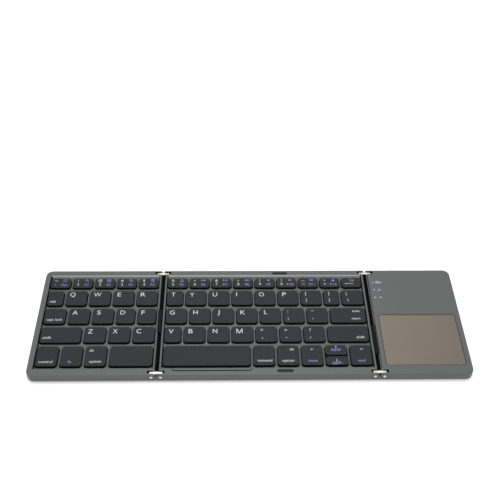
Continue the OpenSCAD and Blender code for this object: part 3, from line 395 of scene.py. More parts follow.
# painted shade: the colour turns to the shade colour where the space round a point is closed
painted_shade_mix = painted_shade_group.nodes.new("ShaderNodeMix")
painted_shade_mix.data_type = "RGBA"
painted_shade_group.links.new(opened.outputs["Result"], painted_shade_mix.inputs["Factor"])
bevel_highlight_mix = painted_shade_group.nodes.new("ShaderNodeMix")
bevel_highlight_mix.data_type = "RGBA"
painted_shade_group.links.new(on_highlit_bevel, bevel_highlight_mix.inputs["Factor"])
painted_shade_group.links.new(r_in.outputs["Color"], bevel_highlight_mix.inputs[MIX_A])
painted_shade_group.links.new(r_in.outputs["Bevel Highlight Color"], bevel_highlight_mix.inputs[MIX_B])
painted_shade_group.links.new(r_in.outputs["Painted Shade Color"], painted_shade_mix.inputs[MIX_A])
painted_shade_group.links.new(bevel_highlight_mix.outputs[MIX_RESULT], painted_shade_mix.inputs[MIX_B])
painted_shade_group.links.new(painted_shade_mix.outputs[MIX_RESULT], r_out.inputs["Color"])
painted_shade_group.links.new(opened.outputs["Result"], r_out.inputs["Mask"])
print("group", painted_shade_group.name, "has", len(painted_shade_group.nodes), "nodes")

# %% [markdown]
# ### Brushed streaks
# Brushing leaves scratches that are very long in one direction and very narrow across it.
# Noise becomes streaks when its coordinates are stretched: a large scale across the
# scratches, and a small one along them.

# %% Group: brushed streaks
brush_group, b_in, b_out = new_group(
    "brushed_streaks",
    [("Color", COLOR, (0.5, 0.5, 0.5, 1)), ("Stretch", VECTOR, (60.0, 4000.0, 4000.0)),
     ("Contrast", FLOAT, 0.1), ("Roughness", FLOAT, 0.35), ("Roughness Spread", FLOAT, 0.15)],
    [("Color", COLOR), ("Roughness", FLOAT), ("Height", FLOAT)])
place = brush_group.nodes.new("ShaderNodeTexCoord").outputs["Object"]
stretched = brush_group.nodes.new("ShaderNodeVectorMath")
stretched.operation = "MULTIPLY"
brush_group.links.new(place, stretched.inputs[0])
brush_group.links.new(b_in.outputs["Stretch"], stretched.inputs[1])
streak = noise(brush_group, stretched.outputs[0], 1.0, 4.0, 0.65)
tone = math_node(brush_group, "MULTIPLY", streak, b_in.outputs["Contrast"])
brush_group.links.new(shifted_value(brush_group, b_in.outputs["Color"], tone),
                      b_out.inputs["Color"])
brush_group.links.new(
    math_node(brush_group, "MULTIPLY_ADD", streak, b_in.outputs["Roughness Spread"],
              b_in.outputs["Roughness"]), b_out.inputs["Roughness"])
brush_group.links.new(streak, b_out.inputs["Height"])
print("group", brush_group.name, "has", len(brush_group.nodes), "nodes")

# %% [markdown]
# ## Finishes
# Most finishes here are one recipe with other values: a base colour with grain, a rough
# surface with a slight bump, and brighter edges, partly where the part gets handled and partly
# as a painted highlight. Colours are written as a screen shows them, 0 to 255, and turned into
# the linear values that a renderer works with.

# %% Plastic, rubber and printed finishes
def shown(r, g, b):
    """A colour as a screen shows it, 0 to 255, as linear RGBA."""
    def linear(c):
        c /= 255
        return c / 12.92 if c <= 0.04045 else ((c + 0.055) / 1.055) ** 2.4
    return (linear(r), linear(g), linear(b), 1.0)


def new_finish(name):
    """A material with only a Principled shader; returns it, its tree and the shader."""
    made = bpy.data.materials.new(name)
    made.use_nodes = True
    tree = made.node_tree
    shader = tree.nodes["Principled BSDF"]
    return made, tree, shader


def place_group(tree, group, values):
    """Puts a group in a material's tree, and sets its inputs to numbers or links."""
    made = tree.nodes.new("ShaderNodeGroup")
    made.node_tree = group
    for label, value in values.items():
        if isinstance(value, bpy.types.NodeSocket):
            tree.links.new(value, made.inputs[label])
        else:
            made.inputs[label].default_value = value
    return made


def bump(tree, shader, height, depth):
    """Feeds a height, in units of depth metres, to the shader's normal."""
    made = tree.nodes.new("ShaderNodeBump")
    made.inputs["Distance"].default_value = depth
    made.inputs["Strength"].default_value = 1.0
    tree.links.new(height, made.inputs["Height"])
    tree.links.new(made.outputs[0], shader.inputs["Normal"])


# Where the painted shade of recesses reaches: the wells stay light, and bands at the folds are
# painted dark.
RECESS_REACH = 4 * MM       # how far round a point the occlusion looks
BOX_MARGIN = 0.5 * MM       # a face this close to the CAD box is an outer one
WELL_MIDDLE, WELL_HALF = 0.475 * MM, 43.725 * MM                # the key wells, along Y
FOLD_SHIFTS, FOLD_HALF = (0.85 * MM, -0.65 * MM), 1.3 * MM      # the dark bands at the folds


def grained(name, color, rough, grain=4000.0, contrast=0.10, cloud=0.05, spread=0.1,
            depth=0.00002, edge=None, edge_amount=0.5, edge_radius=0.0003, specular=0.5,
            coat=0.0, metallic=0.0, recess_shade=None):
    """A grained finish: moulded plastic, rubber, paint or ink."""
    made, tree, shader = new_finish(name)
    group = place_group(tree, grain_group, {
        "Color": shown(*color), "Grain Size": grain, "Grain Contrast": contrast,
        "Cloud Contrast": cloud, "Roughness": rough, "Roughness Spread": spread})
    result = group.outputs["Color"]
    # lighter edges: wear, and on the shell a painted highlight
    if edge:
        result = place_group(tree, wear_and_highlight_group, {
            "Color": result, "Edge Color": shown(*edge), "Amount": edge_amount,
            "Radius": edge_radius}).outputs["Color"]
    # painted shade in recesses and folds, and a painted highlight on the bevel behind the number
    # row
    if recess_shade:
        result = place_group(tree, painted_shade_group, {
            "Color": result, "Painted Shade Color": shown(*recess_shade), "Reach": RECESS_REACH,
            "Half Length": cad_box[1].x - BOX_MARGIN,
            "Half Depth": cad_box[1].y - BOX_MARGIN,
            "Well Middle": WELL_MIDDLE, "Well Half": WELL_HALF,
            "Well A": wells[0][0], "Half A": wells[0][1],
            "Well B": wells[1][0], "Half B": wells[1][1], "Bevel Highlight Color": shown(168, 168, 167),
            "Fold A": folds[0] + FOLD_SHIFTS[0], "Fold B": folds[1] + FOLD_SHIFTS[1],
            "Fold Half Width": FOLD_HALF})
        # the painted shade also takes the highlights out of the recesses
        tree.links.new(math_node(tree, "MULTIPLY", result.outputs["Mask"], specular),
                       shader.inputs["Specular IOR Level"])
        result = result.outputs["Color"]
    tree.links.new(result, shader.inputs["Base Color"])
    tree.links.new(group.outputs["Roughness"], shader.inputs["Roughness"])
    bump(tree, shader, group.outputs["Height"], depth)
    shader.inputs["Specular IOR Level"].default_value = specular
    shader.inputs["Coat Weight"].default_value = coat
    shader.inputs["Metallic"].default_value = metallic
    return made


finishes = {
    # the shell: painted shade in its recesses, and lighter edges that are partly wear, partly
    # painted highlight
    "shell": grained("satin_grey_shell", (103, 104, 104), 0.42, grain=5200.0, contrast=0.16,
                     cloud=0.07, depth=0.000012, edge=(150, 151, 150), edge_amount=0.6,
                     edge_radius=0.0004, specular=0.28, recess_shade=(23, 23, 24)),
    "keycap": grained("matt_black_keycap", (50, 51, 52), 0.66, grain=7000.0, contrast=0.12,
                      cloud=0.06, depth=0.00001, edge=(62, 63, 64), edge_amount=0.2,
                      specular=0.15),
    # the keycap's walls: a far darker copy of its colour, painted shade
    "keycap_shaded_side": grained("keycap_shaded_side", (9, 9, 10), 0.6, grain=5000.0, contrast=0.2,
                           depth=0.00001, specular=0.12),
    "white_ink": grained("white_ink", (220, 221, 222), 0.5, grain=9000.0, contrast=0.06,
                         depth=0.000004, specular=0.2),
    "blue_ink": grained("blue_ink", (146, 154, 232), 0.5, grain=9000.0, contrast=0.08,
                        depth=0.000004, specular=0.2),
    "grey_ink": grained("grey_ink", (212, 218, 226), 0.5, grain=9000.0, contrast=0.08,
                        depth=0.000004, specular=0.3),
    "rubber": grained("black_rubber", (38, 39, 41), 0.78, grain=2600.0, contrast=0.22,
                      cloud=0.1, spread=0.15, depth=0.00003, edge=(70, 70, 70),
                      edge_amount=0.25, specular=0.3),
    "strip_rubber": grained("strip_rubber", (27, 28, 30), 0.7, grain=2600.0, contrast=0.22,
                            cloud=0.1, depth=0.00002, specular=0.06),
    "silicone": grained("smoky_silicone", (44, 45, 47), 0.5, grain=1500.0, contrast=0.08,
                        specular=0.4),
    "film": grained("switch_film", (30, 32, 34), 0.3, grain=900.0, contrast=0.1,
                    cloud=0.12, specular=0.5),
    "scissor_plastic": grained("scissor_plastic", (24, 25, 26), 0.45, grain=3500.0,
                               contrast=0.1, specular=0.4),
    "dark_socket": grained("socket_black", (20, 20, 22), 0.5, grain=4000.0, contrast=0.2,
                           specular=0.4),
}
print(len(finishes), "grained finishes")

# %% [markdown]
# ### Metals
# The links and pins are plated steel: bright, slightly rounded, with faint streaks from
# polishing, and the pin heads are duller. The support plates and screws are plain steel, and
# battery foil is crinkled. The flat cables are tracks under a black film, with faint ribs.

# %% Metal finishes
STREAK_DEPTH = 0.000006


def brushed(name, color, rough, stretch, contrast=0.12, spread=0.15, metallic=1.0,
            specular=0.5, coat=0.0):
    """A brushed or drawn finish with streaks along one axis."""
    made, tree, shader = new_finish(name)
    group = place_group(tree, brush_group, {
        "Color": shown(*color), "Stretch": stretch, "Contrast": contrast,
        "Roughness": rough, "Roughness Spread": spread})
    tree.links.new(group.outputs["Color"], shader.inputs["Base Color"])
    tree.links.new(group.outputs["Roughness"], shader.inputs["Roughness"])
    bump(tree, shader, group.outputs["Height"], STREAK_DEPTH)
    shader.inputs["Metallic"].default_value = metallic
    shader.inputs["Specular IOR Level"].default_value = specular
    shader.inputs["Coat Weight"].default_value = coat
    return made


finishes["hinge_metal"] = brushed("plated_links", (236, 235, 232), 0.2,
                                  (150.0, 3000.0, 3000.0), contrast=0.1, spread=0.12)
finishes["steel"] = brushed("plain_steel", (196, 197, 198), 0.34, (90.0, 2600.0, 2600.0),
                            contrast=0.2)
finishes["pin_metal"] = brushed("pin_heads", (186, 184, 180), 0.32, (900.0, 900.0, 900.0),
                                contrast=0.16)
finishes["cable_film"] = brushed("cable_film", (33, 31, 30), 0.4, (60.0, 1800.0, 500.0),
                                 contrast=0.25, metallic=0.0, specular=0.3, coat=0.2)
finishes["battery_foil"] = grained("battery_foil", (188, 190, 192), 0.32, grain=420.0,
                                   contrast=0.1, cloud=0.15, depth=0.00008, metallic=0.85)
print("metals:", [finishes[k].name for k in ("hinge_metal", "pin_metal", "steel")])

# %% [markdown]
# ### The touchpad's face
# The touchpad is a plate with a warm grey-brown lacquer. It has very faint vertical bands, as
# brushed film has, and it is painted slightly darker towards its right and front, a painted
# shade where less light falls: a ramp along X and Y scales the streaked colour. Its cut edge
# catches the light, and that is painted on top as a highlight with the group of worn edges.

# %% Touchpad finish
# painted shade: how much darker the plate is made towards its right and front
DARKER_RIGHT, LIGHTER_REAR = 0.16, 0.04     # change of tone over the whole plate


def touchpad_finish():
    """Warm lacquer with vertical bands, painted shade and a painted highlight on its edge."""
    made, tree, shader = new_finish("touchpad_lacquer")
    streaks = place_group(tree, brush_group, {
        "Color": shown(127, 117, 106), "Stretch": (900.0, 25.0, 900.0), "Contrast": 0.14,
        "Roughness": 0.42, "Roughness Spread": 0.08})
    low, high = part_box("touchpad_plate")
    place = tree.nodes.new("ShaderNodeTexCoord").outputs["Object"]
    apart = tree.nodes.new("ShaderNodeSeparateXYZ")
    tree.links.new(place, apart.inputs[0])
    across = math_node(tree, "MULTIPLY_ADD", apart.outputs["X"],
                       -DARKER_RIGHT / (high.x - low.x),
                       DARKER_RIGHT * (low.x + high.x) / 2 / (high.x - low.x))
    deep = math_node(tree, "MULTIPLY_ADD", apart.outputs["Y"],
                     LIGHTER_REAR / (high.y - low.y),
                     -LIGHTER_REAR * (low.y + high.y) / 2 / (high.y - low.y))
    drift = math_node(tree, "ADD", across, deep)
    # painted highlight on the plate's cut edge
    lacquer = place_group(tree, wear_and_highlight_group, {
        "Color": shifted_value(tree, streaks.outputs["Color"], drift),
        "Edge Color": shown(196, 190, 182), "Amount": 0.9, "Radius": 0.0003})
    tree.links.new(lacquer.outputs["Color"], shader.inputs["Base Color"])
    tree.links.new(streaks.outputs["Roughness"], shader.inputs["Roughness"])
    bump(tree, shader, streaks.outputs["Height"], 0.000003)
    shader.inputs["Specular IOR Level"].default_value = 0.35
    return made


finishes["touchpad"] = touchpad_finish()

# %% [markdown]
# ### Circuit board and light pipes
# A bare board has copper tracks under green lacquer: a brick pattern with thin joints looks
# like tracks that run side by side and turn off. The three status lights are off, so they are
# just small pieces of clear milky plastic that look pale blue against the grey shell.

# %% Board and light finishes
def board_finish():
    """Green solder lacquer over copper tracks."""
    made, tree, shader = new_finish("board_lacquer")
    tracks = tree.nodes.new("ShaderNodeTexBrick")
    tracks.offset, tracks.squash = 0.37, 0.6
    tracks.inputs["Color1"].default_value = shown(22, 66, 44)
    tracks.inputs["Color2"].default_value = shown(26, 74, 50)
    tracks.inputs["Mortar"].default_value = shown(64, 112, 66)
    tracks.inputs["Scale"].default_value = 260.0
    tracks.inputs["Mortar Size"].default_value = 0.05
    place = tree.nodes.new("ShaderNodeTexCoord").outputs["Object"]
    tree.links.new(place, tracks.inputs["Vector"])
    group = place_group(tree, grain_group, {
        "Color": tracks.outputs["Color"], "Grain Size": 2500.0, "Grain Contrast": 0.1,
        "Cloud Contrast": 0.1, "Roughness": 0.3, "Roughness Spread": 0.1})
    tree.links.new(group.outputs["Color"], shader.inputs["Base Color"])
    tree.links.new(group.outputs["Roughness"], shader.inputs["Roughness"])
    bump(tree, shader, tracks.outputs["Fac"], 0.00004)
    return made


finishes["circuit_board"] = board_finish()
finishes["light_lens"] = grained("milky_light_pipe", (184, 192, 210), 0.25, grain=2500.0,
                                 contrast=0.08, specular=0.6, coat=0.3)
print("board and light finishes made")

# %% [markdown]
# ## Rounded edges on the moulded and pressed parts
# The CAD solids have exact flat faces that meet in knife edges, and no moulded part has
# those. A Bevel modifier rounds them, and a Weighted Normal modifier keeps the flat faces
# looking flat. The imported mesh is made of triangles with split corners, so it is first
# welded and its flat triangles are joined again; otherwise the bevel would stop at every
# split. The covers have ledges and slits narrower than their edge rounding, and a bevel that
# keeps clear of the narrowest one would vanish. Theirs isn't clamped. Instead their large
# faces are cut into triangles first, so that an overlap stays inside one of them. The rounding
# is all done by modifiers. The CAD mesh underneath keeps its points and faces, but its stored
# normals are dropped and its faces are marked smooth: the last modifier works out new normals.

# %% Bevel and shade the CAD pieces
EDGE_ANGLE, FLAT_ANGLE = math.radians(32), math.radians(0.5)
MODIFIER_WELD = 2e-6


def soften(node, width, segments, thin_walled):
    """Rounds the edges of a CAD node with modifiers."""
    piece = nodes[node]
    if "custom_normal" in piece.data.attributes:
        piece.data.attributes.remove(piece.data.attributes["custom_normal"])
    piece.data.shade_smooth()
    weld = piece.modifiers.new("weld", "WELD")
    weld.merge_threshold = MODIFIER_WELD
    flats = piece.modifiers.new("flats", "DECIMATE")
    flats.decimate_type, flats.angle_limit = "DISSOLVE", FLAT_ANGLE
    if thin_walled:
        piece.modifiers.new("triangles", "TRIANGULATE").min_vertices = 5
    edges = piece.modifiers.new("edges", "BEVEL")
    edges.width, edges.segments = width, segments
    edges.limit_method, edges.angle_limit = "ANGLE", EDGE_ANGLE
    edges.use_clamp_overlap = edges.loop_slide = not thin_walled
    shading = piece.modifiers.new("shading", "WEIGHTED_NORMAL")
    shading.keep_sharp = True


def give(node, finish):
    """Sets every material slot of a CAD node to one finish."""
    piece = nodes[node]
    if not piece.material_slots:
        piece.data.materials.append(finishes[finish])
    for slot in piece.material_slots:
        slot.material = finishes[finish]


edge_widths = {       # CAD nodes that stay: edge rounding in mm, steps, finish
    "bottom_cover": (0.1, 2, "shell"), "top_cover": (0.1, 2, "shell"),
    "support_plate": (0.06, 1, "steel"), "membrane": (0.04, 1, "film"),
    "feet": (0.5, 4, "rubber"), "screws": (0.12, 2, "steel"),
    "hinge_pins": (0.3, 4, "pin_metal"), "hinge_links": (0.42, 4, "hinge_metal")}
single_nodes = {
    "rim_pads": (0.1, 3, "rubber"), "touchpad_plate": (0.12, 3, "touchpad"),
    "touchpad_board": (0.08, 1, "circuit_board"), "main_board": (0.08, 1, "circuit_board"),
    "battery": (0.45, 3, "battery_foil"), "charging_port": (0.1, 2, "steel"),
    "status_lights": (0.1, 3, "light_lens")}
for node in nodes:
    for end, (width, steps, finish) in edge_widths.items():
        if node.endswith(end):
            single_nodes[node] = (width, steps, finish)
for node, (width, steps, finish) in single_nodes.items():
    soften(node, width * MM, steps, thin_walled=node.endswith("cover"))
    give(node, finish)
print(len(single_nodes), "CAD pieces have rounded edges and a finish")

# %% [markdown]
# ## Mesh helpers
# Keycaps, domes and strips are lofts: the same outline repeated at several heights and
# insets, joined by strips of faces and closed at both ends. Two helpers make the outlines,
# rounded rectangles and circles. One makes the loft, one turns the collected faces into an
# object that rides on its body, and one finds the separate solids of a CAD node.

# %% Lofts
CORNER_STEPS, CIRCLE_STEPS = 7, 20
SHARP_ANGLE = math.radians(40)


def rounded_rectangle(x0, x1, y0, y1, r):
    """Points of a rounded rectangle, counter-clockwise from the right end of its front."""
    r = max(r, 1e-5)
    points = []
    for cx, cy, start in ((x1 - r, y0 + r, -90), (x1 - r, y1 - r, 0),
                          (x0 + r, y1 - r, 90), (x0 + r, y0 + r, 180)):
        for i in range(CORNER_STEPS + 1):
            a = math.radians(start + 90 * i / CORNER_STEPS)
            points.append((cx + r * math.cos(a), cy + r * math.sin(a)))
    return points


def circle(cx, cy, r, z):
    """Points of a level circle."""
    return [(cx + r * math.cos(a), cy + r * math.sin(a), z)
            for a in np.linspace(0, 2 * math.pi, CIRCLE_STEPS, False)]


class Sheaf:
    """Collects vertices and faces with a finish number each, for one object."""

    def __init__(self):
        self.points, self.faces, self.finish = [], [], []

    def loft(self, rings, finish=0, finish_of=None):
        """Joins rings of equally many points and closes both ends; finish_of(i) names
        strip i's finish."""
        start, n = len(self.points), len(rings[0])
        for ring in rings:
            self.points += ring
        for i in range(len(rings) - 1):
            a, b = start + i * n, start + (i + 1) * n
            for j in range(n):
                k = (j + 1) % n
                self.faces.append((a + j, a + k, b + k, b + j))
                self.finish.append(finish_of(i) if finish_of else finish)
        last = start + (len(rings) - 1) * n
        self.faces.append(tuple(start + j for j in reversed(range(n))))
        self.finish.append(finish_of(0) if finish_of else finish)
        self.faces.append(tuple(last + j for j in range(n)))
        self.finish.append(finish_of(len(rings) - 2) if finish_of else finish)

    def shape(self, name, finish_names, body, smooth=True):
        """Makes the object, with sharp edges where faces meet at more than SHARP_ANGLE."""
        mesh = bpy.data.meshes.new(name)
        mesh.from_pydata(self.points, [], self.faces)
        for finish in finish_names:
            mesh.materials.append(finishes[finish])
        mesh.polygons.foreach_set("material_index", self.finish)
        work = bmesh.new()
        work.from_mesh(mesh)
        bmesh.ops.recalc_face_normals(work, faces=work.faces)
        for face in work.faces:
            face.smooth = smooth
        for edge_ in work.edges:
            if len(edge_.link_faces) == 2:
                edge_.smooth = edge_.calc_face_angle(0) < SHARP_ANGLE
        work.to_mesh(mesh)
        work.free()
        made = bpy.data.objects.new(name, mesh)
        bpy.context.scene.collection.objects.link(made)
        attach(made, body)
        return made


def solids_of(node):
    """Boxes (x0, x1, y0, y1, z0, z1) of a CAD node's separate solids, left to right."""
    work = bmesh.new()
    work.from_mesh(nodes[node].data)
    bmesh.ops.remove_doubles(work, verts=work.verts, dist=WELD)
    unseen, boxes = set(work.verts), []
    while unseen:
        group, queue = [], [unseen.pop()]
        while queue:
            vert = queue.pop()
            group.append(vert.co)
            for link in vert.link_edges:
                other = link.other_vert(vert)
                if other in unseen:
                    unseen.remove(other)
                    queue.append(other)
        co = np.array(group)
        low, high = co.min(0), co.max(0)
        boxes.append((low[0], high[0], low[1], high[1], low[2], high[2]))
    work.free()
    return sorted(boxes)


print("the number row's first key is at", [round(v / MM, 2) for v in
                                            solids_of("left_number_keys")[0]])

# %% [markdown]
# ## Keycaps
# Each keycap is a thin shell: a flat top with a soft edge all round, walls that lean in a
# little, and a hollow underside with a plunger that presses the dome. The top has a matt
# coating; the walls get a far darker copy of the keycap's colour, a painted shade, which is why
# every key seems to stand in a black frame. Lofting one rounded rectangle from the ceiling of
# the hollow, round the skirt and up over the top gives the whole shell as one closed surface.

# %% Keycaps on their bodies
KEY_H, KEY_R = 2.5 * MM, 2.2 * MM
CAP_WALL, CAP_TOP = 0.9 * MM, 1.0 * MM
EDGE_R, LEAN = 0.38 * MM, 0.10 * MM
PLUNGER_R = 1.1 * MM
EDGE_STEPS = 5              # faces round the soft edge of the top
SIDE_STRIPS = 6             # strips of the loft, from the hollow outwards, with the walls' painted shade
KEY_NODES = [n for n in nodes if n.endswith("_keys") or n.endswith("_key")]


def keycap(sheaf, box):
    """Adds one keycap, from its CAD solid's box."""
    x0, x1, y0, y1, z_tip, top = box
    skirt, ceiling = top - KEY_H, top - CAP_TOP

    def ring(inset, z):
        outline = rounded_rectangle(x0 + inset, x1 - inset, y0 + inset, y1 - inset,
                                    KEY_R - inset)
        return [(x, y, z) for x, y in outline]

    rings = [ring(CAP_WALL, ceiling), ring(CAP_WALL, skirt + 0.1 * MM),
             ring(CAP_WALL - 0.1 * MM, skirt), ring(0.1 * MM, skirt),
             ring(0.0, skirt + 0.1 * MM)]
    for i in range(EDGE_STEPS + 1):
        a = math.radians(90 * i / EDGE_STEPS)
        rings.append(ring(LEAN + EDGE_R * (1 - math.cos(a)), top - EDGE_R * (1 - math.sin(a))))
    rings.append(ring(LEAN + EDGE_R + 0.12 * MM, top))
    sheaf.loft(rings, finish_of=lambda i: 1 if i < SIDE_STRIPS else 0)
    cx, cy = (x0 + x1) / 2, (y0 + y1) / 2
    sheaf.loft([circle(cx, cy, r, z) for r, z in (
        (PLUNGER_R, ceiling + 0.2 * MM), (PLUNGER_R, z_tip + 0.2 * MM),
        (PLUNGER_R - 0.2 * MM, z_tip))], finish=1)


key_boxes = {}
for node in KEY_NODES:
    caps = Sheaf()
    key_boxes[node] = solids_of(node)
    for box in key_boxes[node]:
        keycap(caps, box)
    piece = caps.shape(node + "_caps", ("keycap", "keycap_shaded_side"), node)
    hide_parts(node)
key_top = max(box[5] for box in key_boxes["space_key"])

# %% [markdown]
# ### What gives way under a key
# Under each key stand a rubber dome and a scissor, and both flatten when the key goes down.
# The CAD model has them as two sheets of domes and two sets of scissors. Here every key body
# gets its own, which lie on their panel: the domes are lofted again, and the scissors are cut
# out of the CAD mesh. The base sheets stay flat.

# %% Domes and scissors under the keys
DOME_R, DOME_TOP_R, DOME_WALL, SHEET_T = 1.9 * MM, 1.2 * MM, 0.3 * MM, 0.2 * MM


def cad_copy(node, name, finish, body, ease, keep_faces):
    """A piece cut out of a CAD node's mesh by keep_faces, with eased edges."""
    work = bmesh.new()
    work.from_mesh(nodes[node].data)
    bmesh.ops.remove_doubles(work, verts=work.verts, dist=WELD)
    keep_faces(work)
    bmesh.ops.dissolve_limit(work, angle_limit=FLAT_ANGLE, verts=work.verts,
                             edges=work.edges)
    sharp = [e for e in work.edges if e.calc_face_angle(0) > EDGE_ANGLE]
    bmesh.ops.bevel(work, geom=sharp, offset=ease, segments=1, affect="EDGES", profile=0.5)
    mesh = bpy.data.meshes.new(name)
    work.to_mesh(mesh)
    work.free()
    mesh.materials.append(finishes[finish])
    mesh.polygons.foreach_set("material_index", [0] * len(mesh.polygons))
    piece = bpy.data.objects.new(name, mesh)
    bpy.context.scene.collection.objects.link(piece)
    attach(piece, body)
    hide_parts(node)
    return piece


def only_under(node):
    """Keeps what lies below the keycaps of one key body."""
    def keep_faces(work):
        others = [v for v in work.verts
                  if not any(b[0] < v.co.x < b[1] and b[2] < v.co.y < b[3]
                             for b in key_boxes[node])]
        bmesh.ops.delete(work, geom=others, context="VERTS")
    return keep_faces


for panel in ("left", "middle"):
    sheet_node, scissor_node = panel + "_dome_sheet", panel + "_scissors"
    low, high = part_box(sheet_node)
    sheet_top = low.z + SHEET_T
    base = Sheaf()
    base.loft([[(x, y, z) for x, y in rounded_rectangle(low.x, high.x, low.y, high.y, 2 * MM)]
               for z in (low.z, sheet_top)])
    piece = base.shape(panel + "_dome_base", ("silicone",), panel + "_panel")
    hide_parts(sheet_node)
    for node in KEY_NODES:
        if (key_boxes[node][0][0] < folds[0]) != (panel == "left"):
            continue
        domes = Sheaf()
        for x0, x1, y0, y1, _, _ in key_boxes[node]:
            cx, cy = (x0 + x1) / 2, (y0 + y1) / 2
            domes.loft([circle(cx, cy, r, z) for r, z in (
                (DOME_TOP_R - DOME_WALL, high.z - DOME_WALL), (DOME_R - DOME_WALL, sheet_top),
                (DOME_R, sheet_top), (DOME_TOP_R, high.z - 0.1 * MM),
                (DOME_TOP_R - 0.1 * MM, high.z))])
        piece = domes.shape(node + "_domes", ("silicone",), panel + "_panel")
        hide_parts(sheet_node)
        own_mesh(piece)
        piece = cad_copy(scissor_node, node + "_scissors", "scissor_plastic",
                         panel + "_panel", 0.06 * MM, only_under(node))
        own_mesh(piece)

# %% [markdown]
# ## Legends
# Printed legends are a thin layer of ink on the key tops. An image texture could carry them,
# but as real geometry they stay sharp from close by and need no file. Letters come from
# Blender's own font as filled outlines, and the signs are drawn from strokes and small
# shapes. Every mark becomes a slab of ink a hundredth of a millimetre thick, and all marks on
# one key body are one object that moves with it.

# %% Ink: words and strokes
INK_LIFT, INK_THICK = 0.004 * MM, 0.012 * MM
FONT_CAP = 0.729            # height of a capital letter in Blender's font, per unit of size
FONT_WELD = 1e-5            # the same as WELD, for letters at size 1
WHITE, BLUE = 0, 1
_letter_shapes = {}


def letter_shapes(text):
    """Filled outlines of a text at size 1: flat points and faces, from x = 0."""
    if text not in _letter_shapes:
        curve = bpy.data.curves.new("ink", "FONT")
        curve.body, curve.resolution_u = text, 3
        holder = bpy.data.objects.new("ink", curve)
        bpy.context.scene.collection.objects.link(holder)
        bpy.context.view_layer.update()
        mesh = bpy.data.meshes.new_from_object(
            holder.evaluated_get(bpy.context.evaluated_depsgraph_get()))
        work = bmesh.new()
        work.from_mesh(mesh)
        bmesh.ops.remove_doubles(work, verts=work.verts, dist=FONT_WELD)
        bmesh.ops.dissolve_degenerate(work, edges=work.edges, dist=FONT_WELD)
        work.verts.ensure_lookup_table()
        work.verts.index_update()
        points = [(v.co.x, v.co.y) for v in work.verts]
        faces = [tuple(v.index for v in f.verts) for f in work.faces]
        border = [(e.link_loops[0].vert.index, e.link_loops[0].link_loop_next.vert.index)
                  for e in work.edges if len(e.link_faces) == 1]
        work.free()
        bpy.data.objects.remove(holder)
        bpy.data.curves.remove(curve)
        bpy.data.meshes.remove(mesh)
        left = min(x for x, _ in points)
        points = [(x - left, y) for x, y in points]
        _letter_shapes[text] = (points, faces, border)
    return _letter_shapes[text]


class Ink(Sheaf):
    """A sheaf of thin flat marks on a surface at one height."""

    def __init__(self, z):
        super().__init__()
        self.z = z + INK_LIFT

    def slab(self, points, faces, border, ink):
        """A flat shape given thickness: its faces above and below, and walls between."""
        start, n = len(self.points), len(points)
        self.points += [(x, y, self.z + INK_THICK) for x, y in points]
        self.points += [(x, y, self.z) for x, y in points]
        for face in faces:
            self.faces.append(tuple(start + i for i in face))
            self.faces.append(tuple(start + n + i for i in reversed(face)))
        for a, b in border:
            self.faces.append((start + b, start + a, start + n + a, start + n + b))
        self.finish += [ink] * (2 * len(faces) + len(border))

    def area(self, points, ink=BLUE):
        """A filled polygon."""
        n = len(points)
        loop = list(range(n))
        if sum(points[i][0] * points[i - 1][1] - points[i - 1][0] * points[i][1]
               for i in loop) > 0:
            points = points[::-1]
        self.slab(points, [tuple(loop)], [(i, (i + 1) % n) for i in loop], ink)

    def stroke(self, points, width, ink=BLUE, closed=False):
        """A line of even width along points, with mitred corners."""
        n = len(points)
        sides = []
        for i, (x, y) in enumerate(points):
            before = points[i - 1] if i or closed else None
            after = points[(i + 1) % n] if i + 1 < n or closed else None
            before = before or (2 * x - after[0], 2 * y - after[1])
            after = after or (2 * x - before[0], 2 * y - before[1])
            u = Vector((x - before[0], y - before[1])).normalized()
            v = Vector((after[0] - x, after[1] - y)).normalized()
            middle = Vector((-(u.y + v.y), u.x + v.x))
            if middle.length < 1e-6:
                middle = Vector((-u.y, u.x))
            middle.normalize()
            reach = width / 2 / max(0.4, middle.dot(Vector((-u.y, u.x))))
            sides.append(((x + middle.x * reach, y + middle.y * reach),
                          (x - middle.x * reach, y - middle.y * reach)))
        flat = [p for pair in sides for p in pair]
        faces, border = [], []
        for i in range(n if closed else n - 1):
            a, b = 2 * i, 2 * ((i + 1) % n)
            faces.append((a + 1, b + 1, b, a))
            border += [(a + 1, b + 1), (b, a)]
        if not closed:
            border += [(0, 1), (2 * n - 1, 2 * n - 2)]
        self.slab(flat, faces, border, ink)

    def word(self, text, x, y, cap, ink=WHITE, anchor="left", stretch=1.0):
        """A text with capitals cap high, its baseline at y and its left, middle or right at x."""
        points, faces, border = letter_shapes(text)
        size = cap / FONT_CAP
        width = max(p[0] for p in points) * size * stretch
        x -= {"left": 0, "middle": width / 2, "right": width}[anchor]
        self.slab([(x + px * size * stretch, y + py * size) for px, py in points], faces,
                  border, ink)


print("a capital Q takes", len(letter_shapes("Q")[0]), "points")

# %% [markdown]
# ### Signs
# The second functions have small signs: a house, a magnifier, three editing signs, the tape
# recorder signs, loudspeakers and a padlock. Each is drawn in a square of about 3 mm with
# strokes of a quarter millimetre, around its own middle.

# %% Signs
LINE = 0.26 * MM


def at(cx, cy, points):
    """Points in mm around a middle, as metres on the key."""
    return [(cx + x * MM, cy + y * MM) for x, y in points]


def ring_points(r, n=16, start=0.0, sweep=360.0, cx=0.0, cy=0.0):
    """Points on an arc in mm, n of them."""
    last = n if sweep >= 360 else n - 1
    return [(cx + r * math.cos(math.radians(start + sweep * i / last)),
             cy + r * math.sin(math.radians(start + sweep * i / last))) for i in range(n)]


